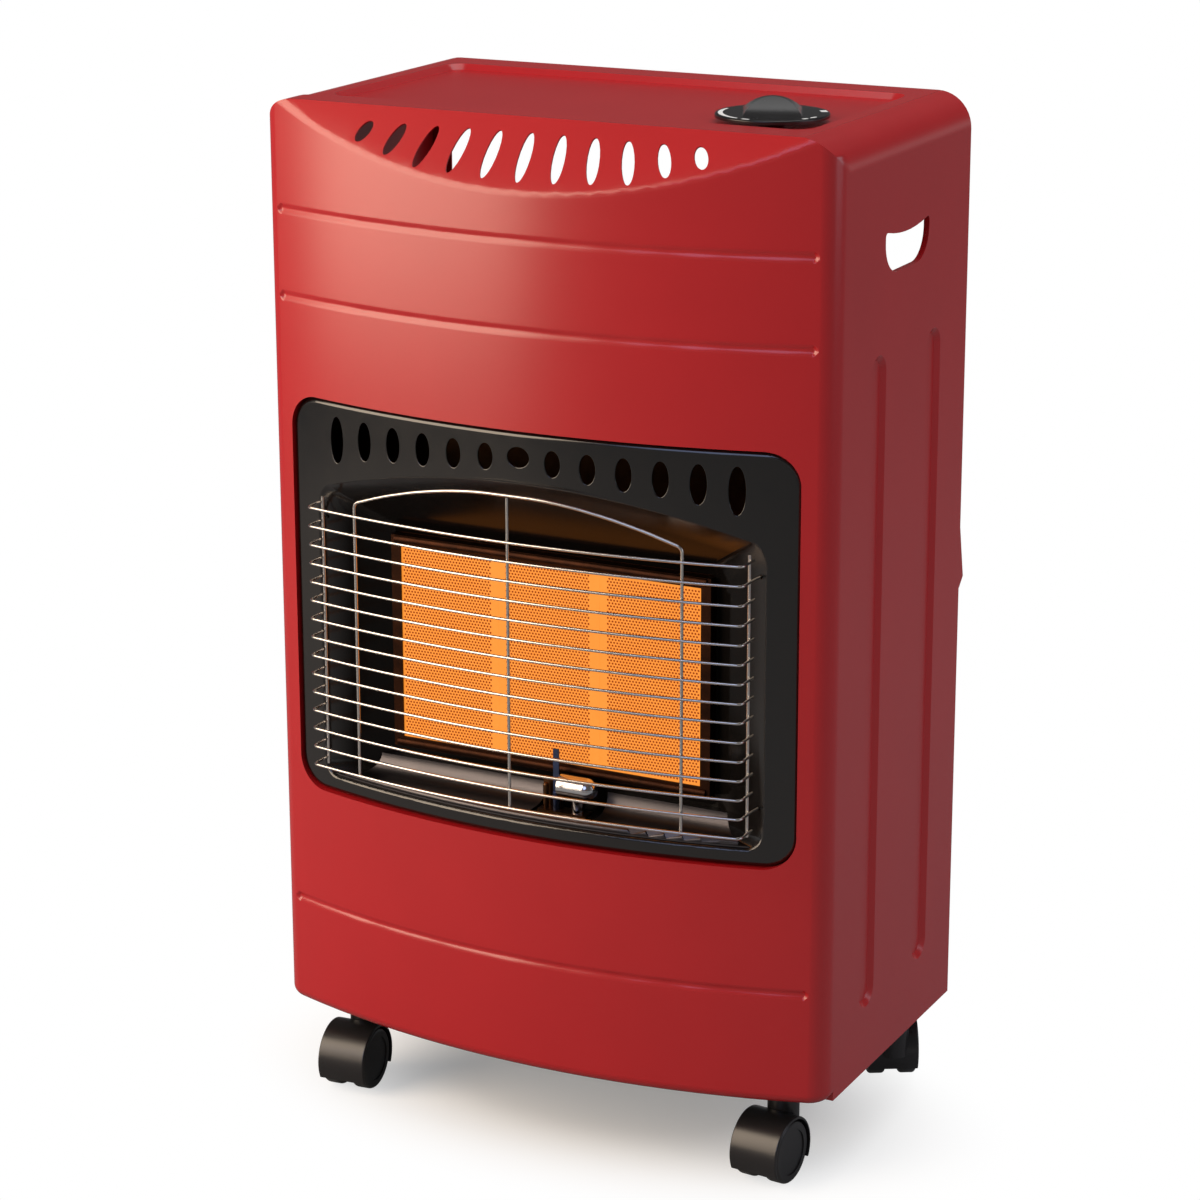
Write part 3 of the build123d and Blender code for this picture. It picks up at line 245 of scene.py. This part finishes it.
# How the CAD's triangles are merged and shaded
shading = {"mergeMm": 0.004, "smoothDeg": 32, "panelDeg": 40, "roundDeg": 70, "flatWeight": 80}


def dress(piece, body, material):
    piece.data.materials.clear()
    piece.data.materials.append(material)
    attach(piece, body)


def paint(nodeName, material):
    cadNodes[nodeName].data.materials.clear()
    cadNodes[nodeName].data.materials.append(material)


def bakedMesh(piece):
    bpy.context.view_layer.update()
    return bpy.data.meshes.new_from_object(piece.evaluated_get(bpy.context.evaluated_depsgraph_get()))


def roundRims(work, rims):
    # Takes the sharpness off the punched rims between two heights
    front = bowRadius - rims["depthMm"] * mm
    edges = []
    for edge in work.edges:
        ends = [vert.co for vert in edge.verts]
        onFace = all(abs(math.hypot(p.x, p.y - bowAxisY) - front) < bow["withinMm"] * mm for p in ends)
        inBand = all(rims["lowMm"] * mm < p.z < rims["highMm"] * mm for p in ends)
        inWidth = all(abs(p.x) < rims["halfMm"] * mm for p in ends)
        if not (onFace and inBand and inWidth and len(edge.link_faces) == 2):
            continue
        if edge.calc_face_angle() > math.radians(rims["sharpDeg"]):
            edges.append(edge)
    bmesh.ops.bevel(work, geom=edges, offset=rims["roundMm"] * mm, segments=rims["steps"], profile=0.5, affect="EDGES")
    print("rims rounded:", len(edges))


def followBow(mesh, bowDepths):
    # Sets the normals of the bowed faces square to the bow, so that reflections run evenly
    points = np.empty(len(mesh.vertices) * 3)
    mesh.vertices.foreach_get("co", points)
    points = points.reshape(-1, 3)
    fromAxis = points[:, :2] - np.array([0.0, bowAxisY])
    distance = np.hypot(fromAxis[:, 0], fromAxis[:, 1])
    onBow = np.zeros(len(points), bool)
    for depth in bowDepths:
        onBow |= np.abs(distance - (bowRadius - depth * mm)) < bow["withinMm"] * mm
    exact = np.column_stack([fromAxis / distance[:, None], np.zeros(len(points))])
    corners = np.empty(len(mesh.loops) * 3)
    mesh.corner_normals.foreach_get("vector", corners)
    corners = corners.reshape(-1, 3)
    owners = np.empty(len(mesh.loops), int)
    mesh.loops.foreach_get("vertex_index", owners)
    near = onBow[owners] & ((corners * exact[owners]).sum(1) > math.cos(math.radians(bow["turnDeg"])))
    corners[near] = exact[owners][near]
    mesh.normals_split_custom_set(corners.tolist())


def smoothCopy(nodeName, body, material, angle=shading["smoothDeg"], bowDepths=(), rims=None):
    # A CAD node's triangles, merged and shaded smooth between its sharp edges
    work = bmesh.new()
    work.from_mesh(cadNodes[nodeName].data)
    bmesh.ops.remove_doubles(work, verts=work.verts, dist=shading["mergeMm"] * mm)
    if rims:
        roundRims(work, rims)
    for face in work.faces:
        face.smooth = True
    for edge in work.edges:
        edge.smooth = len(edge.link_faces) == 2 and edge.calc_face_angle() < math.radians(angle)
    mesh = bpy.data.meshes.new(nodeName + "Smooth")
    work.to_mesh(mesh)
    work.free()
    piece = addObject(nodeName + "Smooth", mesh)
    weighting = piece.modifiers.new("weighting", "WEIGHTED_NORMAL")
    weighting.keep_sharp = True
    weighting.weight = shading["flatWeight"]
    baked = bakedMesh(piece)
    piece.modifiers.clear()
    piece.data = baked
    if bowDepths:
        followBow(baked, bowDepths)
    dress(piece, body, material)
    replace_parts(piece, nodeName)


def bakeNodes(name, source, body, material):
    # Turns an object with a node tree into a plain mesh
    mesh = bakedMesh(source)
    mesh.name = name
    bpy.data.objects.remove(source)
    piece = addObject(name, mesh)
    dress(piece, body, material)
    return piece


def newTree(name, inputs):
    tree = bpy.data.node_groups.new(name, "GeometryNodeTree")
    tree.interface.new_socket("Geometry", in_out="INPUT", socket_type="NodeSocketGeometry")
    for label, kind in inputs.items():
        tree.interface.new_socket(label, in_out="INPUT", socket_type="NodeSocket" + kind)
    tree.interface.new_socket("Geometry", in_out="OUTPUT", socket_type="NodeSocketGeometry")
    return tree, addNode(tree, "NodeGroupInput").outputs


def runTree(source, tree, values):
    modifier = source.modifiers.new(tree.name, "NODES")
    modifier.node_group = tree
    for item in tree.interface.items_tree:
        if item.item_type == "SOCKET" and item.in_out == "INPUT" and item.name in values:
            modifier[item.identifier] = values[item.name]


# Sheet metal
bezel = {"depthMm": 2.5, "lowMm": 470.0, "highMm": 507.0, "halfMm": 160.0, "roundMm": 0.6, "steps": 2, "sharpDeg": 60}
smoothCopy("front_panel", "cabinet", redPowderCoat, shading["panelDeg"], (0.0,))
smoothCopy("cabinet_shell", "cabinet", redPowderCoat)
smoothCopy("rear_cover", "cover", redPowderCoat)
smoothCopy("burner_surround", "cabinet", blackEnamel, shading["roundDeg"], (bezel["depthMm"],), bezel)
smoothCopy("reflector_tray", "cabinet", polishedSteel)
smoothCopy("plaque_frame", "cabinet", scaledSteel)
print("sheet metal done")

# Casters
for corner in ("front_left", "front_right", "rear_left", "rear_right"):
    smoothCopy("caster_housing_" + corner, "swivel_" + corner, mouldedNylon)
    for side in ("a", "b"):
        smoothCopy("caster_wheel_" + corner + "_" + side, "wheel_" + corner + "_" + side, mouldedNylon)
    paint("caster_stem_" + corner, galvanisedSteel)
    paint("caster_axle_" + corner, galvanisedSteel)
print("casters done")

# Inner pieces that keep their CAD shape
innerPieces = {
    galvanisedSteel: ("base_plate", "base_screws", "hinge_pins", "injector_bracket", "valve_hanger", "valve_nut"),
    heatTintedSteel: ("heat_shield", "pilot_bracket"),
    pressedAluminium: ("burner_head_left", "burner_head_centre", "burner_head_right", "gas_valve"),
    gasketFibre: ("plaque_gaskets",),
    yellowBrass: ("valve_plug",),
    platedCup: ("valve_spindle",),
    mouldedNylon: ("caster_sockets",),
}
for material, names in innerPieces.items():
    for name in names:
        paint(name, material)

# Turned, drawn and bent pieces, shaded smooth
for name in ("injectors", "hose_inlet", "burner_pipe_left", "burner_pipe_centre", "burner_pipe_right",
             "pilot_pipe"):
    smoothCopy(name, "cabinet", yellowBrass)
smoothCopy("pilot_burner", "cabinet", platedCup)
smoothCopy("spark_electrode", "cabinet", bluedSteel)
smoothCopy("thermocouple", "cabinet", heatTintedSteel)
for name in ("guard_portal_wire", "guard_centre_upright", "guard_side_uprights"):
    smoothCopy(name, "cabinet", chromedWire, shading["roundDeg"])
print("inner pieces done")

# Guard cross wires: one bent wire, repeated up the guard by a node tree
guard = {"count": 15, "pitchMm": 13.15, "lowMm": 261.0, "halfMm": 162.0, "frontMm": -145.75, "riseMm": 17.0,
         "returnMm": 18.0, "bendMm": 4.0, "bendSteps": 5, "wireMm": 2.0, "hookEvery": 12, "hookMm": 13.0,
         "hookDeg": 8.0, "bowSteps": 20, "sides": 10}


def guardTree():
    tree, given = newTree("guardWires", {
        "Count": "Int", "Pitch": "Float", "Wire Radius": "Float", "Bend Radius": "Float", "Sides": "Int",
        "Hook Every": "Int", "Hooked": "Bool", "Material": "Material"})
    bent = addNode(tree, "GeometryNodeFilletCurve", None, {
        "Curve": given["Geometry"], "Radius": given["Bend Radius"], "Limit Radius": True})
    if "Mode" in bent.inputs:
        bent.inputs["Mode"].default_value = "Poly"
    else:
        bent.mode = "POLY"
    bent.inputs["Count"].default_value = guard["bendSteps"]
    ring = addNode(tree, "GeometryNodeCurvePrimitiveCircle", None, {
        "Resolution": given["Sides"], "Radius": given["Wire Radius"]})
    wire = addNode(tree, "GeometryNodeCurveToMesh", None, {
        "Curve": bent.outputs["Curve"], "Profile Curve": ring.outputs["Curve"], "Fill Caps": True})
    rise = addNode(tree, "ShaderNodeCombineXYZ", None, {"Z": given["Pitch"]})
    line = addNode(tree, "GeometryNodeMeshLine", None, {"Count": given["Count"], "Offset": rise.outputs["Vector"]})
    # The second wire from the bottom and every "Hook Every" after it end in hooks
    turn = calc(tree, "MODULO", addNode(tree, "GeometryNodeInputIndex").outputs["Index"], given["Hook Every"])
    isHook = addNode(tree, "FunctionNodeCompare", {"operation": "EQUAL"}, {0: turn, 1: 1.0})
    wanted = addNode(tree, "FunctionNodeBooleanMath", {"operation": "XNOR"}, {
        0: isHook.outputs[0], 1: given["Hooked"]})
    stack = addNode(tree, "GeometryNodeInstanceOnPoints", None, {
        "Points": line.outputs["Mesh"], "Selection": wanted.outputs[0], "Instance": wire.outputs["Mesh"]})
    real = addNode(tree, "GeometryNodeRealizeInstances", None, {"Geometry": stack.outputs["Instances"]})
    smooth = addNode(tree, "GeometryNodeSetShadeSmooth", None, {"Geometry": real.outputs["Geometry"]})
    painted = addNode(tree, "GeometryNodeSetMaterial", None, {
        "Geometry": smooth.outputs["Geometry"], "Material": given["Material"]})
    addNode(tree, "NodeGroupOutput", None, {"Geometry": painted.outputs["Geometry"]})
    return tree


def guardPath(hooked):
    # Half of the bent wire from its free end to the middle, then mirrored
    half = guard["halfMm"]
    radius = (half ** 2 + guard["riseMm"] ** 2) / (2 * guard["riseMm"])
    endY = guard["frontMm"] + guard["riseMm"] + guard["returnMm"]
    points = [(half, endY)]
    if hooked:
        angle = math.radians(guard["hookDeg"])
        points.insert(0, (half + guard["hookMm"] * math.sin(angle), endY + guard["hookMm"] * math.cos(angle)))
    for step in range(guard["bowSteps"] + 1):
        x = half * (1 - step / guard["bowSteps"])
        points.append((x, guard["frontMm"] + radius - math.sqrt(radius ** 2 - x ** 2)))
    return points + [(-x, y) for x, y in reversed(points[:-1])]


wireTree = guardTree()
for hooked, name in ((False, "guardWires"), (True, "guardHookWires")):
    line = bpy.data.curves.new(name + "Path", "CURVE")
    line.dimensions = "3D"
    path = guardPath(hooked)
    spline = line.splines.new("POLY")
    spline.points.add(len(path) - 1)
    for point, (x, y) in zip(spline.points, path):
        point.co = (x * mm, y * mm, guard["lowMm"] * mm, 1)
    source = addObject(name + "Path", line)
    runTree(source, wireTree, {
        "Count": guard["count"], "Pitch": guard["pitchMm"] * mm, "Wire Radius": guard["wireMm"] / 2 * mm,
        "Bend Radius": guard["bendMm"] * mm, "Sides": guard["sides"], "Hook Every": guard["hookEvery"],
        "Hooked": hooked, "Material": chromedWire})
    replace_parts(bakeNodes(name, source, "cabinet", chromedWire), "guard_cross_wires")
print("guard done")

# Plaques: a plain border and a field of burner holes in staggered rows
plaque = {"widthMm": 76.7, "gapMm": 0.1, "lowMm": 275.0, "heightMm": 140.0, "frontMm": -86.75, "thickMm": 12.0,
          "innerEdgeMm": 5.0, "outerEdgeMm": 2.2, "endEdgeMm": 2.6, "pitchMm": 2.35, "rowMm": 2.1, "holeMm": 1.7,
          "deepMm": 1.2, "taper": 0.8, "stagger": 0.5}


def plaqueTree():
    tree, given = newTree("plaqueHoles", {
        "Cell": "Object", "Columns": "Int", "Rows": "Int", "Column Pitch": "Float", "Row Pitch": "Float",
        "Start": "Vector", "Material": "Material"})
    total = calc(tree, "MULTIPLY", given["Columns"], given["Rows"])
    index = addNode(tree, "GeometryNodeInputIndex").outputs["Index"]
    row = calc(tree, "FLOOR", calc(tree, "DIVIDE", index, given["Columns"]))
    column = calc(tree, "MODULO", index, given["Columns"])
    odd = calc(tree, "MODULO", row, 2.0)
    shifted = calc(tree, "MULTIPLY_ADD", odd, plaque["stagger"], column)
    across = calc(tree, "MULTIPLY", shifted, given["Column Pitch"])
    up = calc(tree, "MULTIPLY", row, given["Row Pitch"])
    step = addNode(tree, "ShaderNodeCombineXYZ", None, {"X": across, "Z": up})
    spot = vectorCalc(tree, "ADD", step.outputs["Vector"], given["Start"])[0]
    dots = addNode(tree, "GeometryNodePoints", None, {"Count": total, "Position": spot})
    cell = addNode(tree, "GeometryNodeObjectInfo", None, {"Object": given["Cell"]})
    cells = addNode(tree, "GeometryNodeInstanceOnPoints", None, {
        "Points": dots.outputs["Points"], "Instance": cell.outputs["Geometry"]})
    joined = addNode(tree, "GeometryNodeJoinGeometry")
    tree.links.new(given["Geometry"], joined.inputs[0])
    tree.links.new(cells.outputs["Instances"], joined.inputs[0])
    real = addNode(tree, "GeometryNodeRealizeInstances", None, {"Geometry": joined.outputs["Geometry"]})
    painted = addNode(tree, "GeometryNodeSetMaterial", None, {
        "Geometry": real.outputs["Geometry"], "Material": given["Material"]})
    addNode(tree, "NodeGroupOutput", None, {"Geometry": painted.outputs["Geometry"]})
    return tree


def holeCell():
    # One brick of the field: a flat ring, a hexagonal hole and its floor
    sides = 6
    across, up = plaque["pitchMm"] / 2 * mm, plaque["rowMm"] / 2 * mm
    radius, deep, taper = plaque["holeMm"] / 2 * mm, plaque["deepMm"] * mm, plaque["taper"]
    outer = [(across, 0), (across, up), (-across, up), (-across, 0), (-across, -up), (across, -up)]
    turns = [math.radians(360 / sides * i) for i in range(sides)]
    hole = [(radius * math.cos(turn), radius * math.sin(turn)) for turn in turns]
    points = [(x, 0, z) for x, z in outer + hole] + [(x * taper, deep, z * taper) for x, z in hole]
    faces = []
    for i in range(sides):
        j = (i + 1) % sides
        faces.append((i, sides + i, sides + j, j))
        faces.append((sides + i, 2 * sides + i, 2 * sides + j, sides + j))
    faces.append(tuple(reversed(range(2 * sides, 3 * sides))))
    mesh = bpy.data.meshes.new("holeCell")
    mesh.from_pydata(points, [], faces)
    return addObject("holeCell", mesh)


def plaqueBody(low, high, left, right, bottom, top, rows):
    # The plaque's box, with the field left open in its front but for the half bricks at the ends of its rows
    front, back = plaque["frontMm"] * mm, (plaque["frontMm"] + plaque["thickMm"]) * mm
    floorZ, roofZ = plaque["lowMm"] * mm, (plaque["lowMm"] + plaque["heightMm"]) * mm
    points = [(low, front, floorZ), (high, front, floorZ), (high, front, roofZ), (low, front, roofZ),
              (left, front, bottom), (right, front, bottom), (right, front, top), (left, front, top),
              (low, back, floorZ), (high, back, floorZ), (high, back, roofZ), (low, back, roofZ)]
    faces = [(0, 1, 5, 4), (1, 2, 6, 5), (2, 3, 7, 6), (3, 0, 4, 7),
             (1, 0, 8, 9), (2, 1, 9, 10), (3, 2, 10, 11), (0, 3, 11, 8), (8, 11, 10, 9)]
    halfBrick, rowHeight = plaque["pitchMm"] / 2 * mm, plaque["rowMm"] * mm
    for row in range(rows):
        start = left if row % 2 else right - halfBrick
        base = bottom + row * rowHeight
        first = len(points)
        for x, z in ((0, 0), (halfBrick, 0), (halfBrick, rowHeight), (0, rowHeight)):
            points.append((start + x, front, base + z))
        faces.append((first, first + 1, first + 2, first + 3))
    mesh = bpy.data.meshes.new("plaqueBody")
    mesh.from_pydata(points, [], faces)
    return addObject("plaqueBody", mesh)


holesTree = plaqueTree()
cell = holeCell()
for step, side in ((-1, "left"), (0, "centre"), (1, "right")):
    middle = step * (plaque["widthMm"] + plaque["gapMm"])
    low, high = middle - plaque["widthMm"] / 2, middle + plaque["widthMm"] / 2
    left = low + (plaque["outerEdgeMm"] if step < 0 else plaque["innerEdgeMm"])
    right = high - (plaque["outerEdgeMm"] if step > 0 else plaque["innerEdgeMm"])
    columns = int((right - left) / plaque["pitchMm"] - plaque["stagger"])
    rows = int((plaque["heightMm"] - 2 * plaque["endEdgeMm"]) / plaque["rowMm"])
    right = left + (columns + plaque["stagger"]) * plaque["pitchMm"]
    bottom = plaque["lowMm"] + plaque["endEdgeMm"]
    top = bottom + rows * plaque["rowMm"]
    firstX, firstZ = left + plaque["pitchMm"] / 2, bottom + plaque["rowMm"] / 2
    source = plaqueBody(low * mm, high * mm, left * mm, right * mm, bottom * mm, top * mm, rows)
    runTree(source, holesTree, {
        "Cell": cell, "Columns": columns, "Rows": rows, "Column Pitch": plaque["pitchMm"] * mm,
        "Row Pitch": plaque["rowMm"] * mm, "Material": glowingCeramic,
        "Start": (firstX * mm, plaque["frontMm"] * mm, firstZ * mm)})
    piece = bakeNodes("plaqueGlow" + side.capitalize(), source, "cabinet", glowingCeramic)
    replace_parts(piece, "plaque_" + side)
bpy.data.objects.remove(cell)
print("plaques done")

# Knob and the marks printed on its rim; an arc is its start and end in degrees, and half its width at ends and middle
smoothCopy("control_knob", "knob", blackPhenolic)
knob = {"x": 131.0, "y": -21.75, "topMm": 718.3, "liftMm": 0.06, "ringMm": 33.6, "stepDeg": 4, "leastSteps": 3,
        "arcs": ((-186, -108, 0.9, 1.6), (-101, -92, 1.2, 1.2), (-31, -24, 1.3, 1.3), (-20, -9, 0.5, 1.2),
                 (28, 40, 2.2, 2.2))}


def knobMarks():
    points, faces = [], []
    z = (knob["topMm"] + knob["liftMm"]) * mm
    for start, end, thin, thick in knob["arcs"]:
        steps = max(knob["leastSteps"], int(abs(end - start) / knob["stepDeg"]))
        first = len(points)
        for i in range(steps + 1):
            share = i / steps
            angle = math.radians(start + (end - start) * share)
            half = thin + (thick - thin) * math.sin(math.pi * share)
            for radius in (knob["ringMm"] - half, knob["ringMm"] + half):
                points.append(((knob["x"] + radius * math.cos(angle)) * mm,
                               (knob["y"] + radius * math.sin(angle)) * mm, z))
        for i in range(steps):
            a = first + 2 * i
            faces.append((a, a + 1, a + 3, a + 2))
    mesh = bpy.data.meshes.new("knobMarks")
    mesh.from_pydata(points, [], faces)
    mesh.polygons.foreach_set("use_smooth", [False] * len(mesh.polygons))
    mesh.update()
    return addObject("knobMarks", mesh)


marks = knobMarks()
dress(marks, "knob", whitePrint)
print("knob done")

# Floor: white to the camera, with the heater's shadow near it, and a grey sweep for the light that it sends back
studio = {"sweep": "#7E7F82", "white": "#EEEEEE", "roughness": 0.9, "lift": 0.2, "nearM": 0.1, "farM": 0.31,
          "deepShare": 1.7, "mirrored": 0.05, "halfM": 8}
floorMaterial, tree, shader, place = newMaterial("studioFloor", {
    "Base Color": linear(studio["sweep"]), "Roughness": studio["roughness"], "Specular IOR Level": 0.0})
rays = addNode(tree, "ShaderNodeLightPath").outputs
direct = calc(tree, "MAXIMUM", rays["Is Camera Ray"], rays["Is Transmission Ray"])
shown = calc(tree, "MULTIPLY_ADD", rays["Is Glossy Ray"], studio["mirrored"], direct)
paper = addNode(tree, "ShaderNodeBsdfDiffuse", None, {"Color": linear(studio["white"])})
lifted = addNode(tree, "ShaderNodeEmission", None, {"Strength": studio["lift"]})
near = addNode(tree, "ShaderNodeAddShader", None, {0: paper.outputs[0], 1: lifted.outputs[0]})
flat = vectorCalc(tree, "MULTIPLY", place, (1, studio["deepShare"], 1))[0]
away = vectorCalc(tree, "LENGTH", flat)["Value"]
fade = mapOf(tree, away, (studio["nearM"], studio["farM"]), kind="SMOOTHSTEP")
bright = addNode(tree, "ShaderNodeEmission", None, {"Color": (1, 1, 1, 1)})
seen = addNode(tree, "ShaderNodeMixShader", None, {"Fac": fade, 1: near.outputs[0], 2: bright.outputs[0]})
whole = addNode(tree, "ShaderNodeMixShader", None, {"Fac": shown, 1: shader.outputs[0], 2: seen.outputs[0]})
tree.links.new(whole.outputs[0], tree.nodes["Material Output"].inputs["Surface"])
floorMesh = bpy.data.meshes.new("floor")
floorMesh.from_pydata([(x * studio["halfM"], y * studio["halfM"], 0) for x, y in ((-1, -1), (1, -1), (1, 1), (-1, 1))],
                      [], [(0, 1, 2, 3)])
floorMesh.materials.append(floorMaterial)
addObject("floor", floorMesh)

# World: white to the camera; reflections see a dim room with a pale horizon and a bluish window high in front
room = {"ambient": 0.5, "horizon": 0.4, "overhead": 0.08, "horizonTop": 0.1, "windowGlow": 2.4,
        "windowTint": "#B4C4F2", "windowWay": (0.02, -0.84, 0.54), "windowEdge": (0.16, 0.36)}
world = bpy.data.worlds.new("studio")
scene.world = world
world.use_nodes = True
tree = world.node_tree
background = tree.nodes["Background"]
background.inputs["Color"].default_value = (1, 1, 1, 1)
rays = addNode(tree, "ShaderNodeLightPath").outputs
direct = calc(tree, "MAXIMUM", rays["Is Camera Ray"], rays["Is Transmission Ray"])
way = addNode(tree, "ShaderNodeTexCoord").outputs["Generated"]
height = addNode(tree, "ShaderNodeSeparateXYZ", None, {"Vector": way}).outputs["Z"]
walls = mapOf(tree, height, (0.0, room["horizonTop"]), (room["horizon"], room["overhead"]))
aside = vectorCalc(tree, "DISTANCE", way, room["windowWay"])["Value"]
pane = mapOf(tree, aside, room["windowEdge"], (room["windowGlow"], 0.0), "SMOOTHSTEP")
indoor = addNode(tree, "ShaderNodeMix", {"data_type": "FLOAT"}, {
    0: rays["Is Glossy Ray"], 2: room["ambient"], 3: walls})
strength = addNode(tree, "ShaderNodeMix", {"data_type": "FLOAT"}, {0: direct, 2: indoor.outputs[0], 3: 1.0})
tree.links.new(strength.outputs[0], background.inputs["Strength"])
glass = addNode(tree, "ShaderNodeBackground", None, {
    "Color": linear(room["windowTint"]), "Strength": calc(tree, "MULTIPLY", pane, rays["Is Glossy Ray"])})
sky = addNode(tree, "ShaderNodeAddShader", None, {0: background.outputs[0], 1: glass.outputs[0]})
tree.links.new(sky.outputs[0], tree.nodes["World Output"].inputs["Surface"])

# Lamps: a warm key at the left, a weak cool side light, and two from behind and above
lamps = {
    "keyLight": {"place": (-1.2, -1.3, 1.03), "aim": (0, -0.1, 0.5), "sizeM": (1.3, 1.75), "watts": 39.0,
                 "color": "#FFE8CE", "mirrored": True},
    "sideLight": {"place": (1.5, 0.15, 0.9), "aim": (0.2, 0.05, 0.45), "sizeM": (0.8, 0.8), "watts": 3.0,
                  "color": "#E9EEFF", "mirrored": True},
    "rearLight": {"place": (0.35, 1.5, 1.9), "aim": (0, 0.1, 0.4), "sizeM": (1.2, 0.8), "watts": 9.0,
                  "color": "#FFFFFF", "mirrored": False},  # no streak of it on the top's bends
    "topLight": {"place": (0.2, 0.4, 2.4), "aim": (0, 0, 0.4), "sizeM": (1.4, 1.4), "watts": 10.0,
                 "color": "#FFFFFF", "mirrored": True},
}
for name, lamp in lamps.items():
    light = bpy.data.lights.new(name, "AREA")
    light.shape = "RECTANGLE"
    light.size, light.size_y = lamp["sizeM"]
    light.energy = lamp["watts"]
    light.color = linear(lamp["color"])[:3]
    holder = addObject(name, light)
    holder.location = lamp["place"]
    holder.rotation_euler = (Vector(lamp["aim"]) - Vector(lamp["place"])).to_track_quat("-Z", "Y").to_euler()
    holder.visible_glossy = lamp["mirrored"]

# Camera, fitted to the edges of the cabinet
view = {"place": (1.03249, -2.02571, 1.05421), "turnDeg": (74.181, 0.296, 27.744), "lensMm": 102.58,
        "sensorMm": 36, "shift": (0.0333, -0.05), "farM": 50}
lens = bpy.data.cameras.new("camera")
lens.sensor_width = view["sensorMm"]
lens.lens = view["lensMm"]
lens.shift_x, lens.shift_y = view["shift"]
lens.clip_end = view["farM"]
camera = addObject("camera", lens)
camera.location = view["place"]
camera.rotation_euler = [math.radians(a) for a in view["turnDeg"]]
scene.camera = camera
print("studio done")
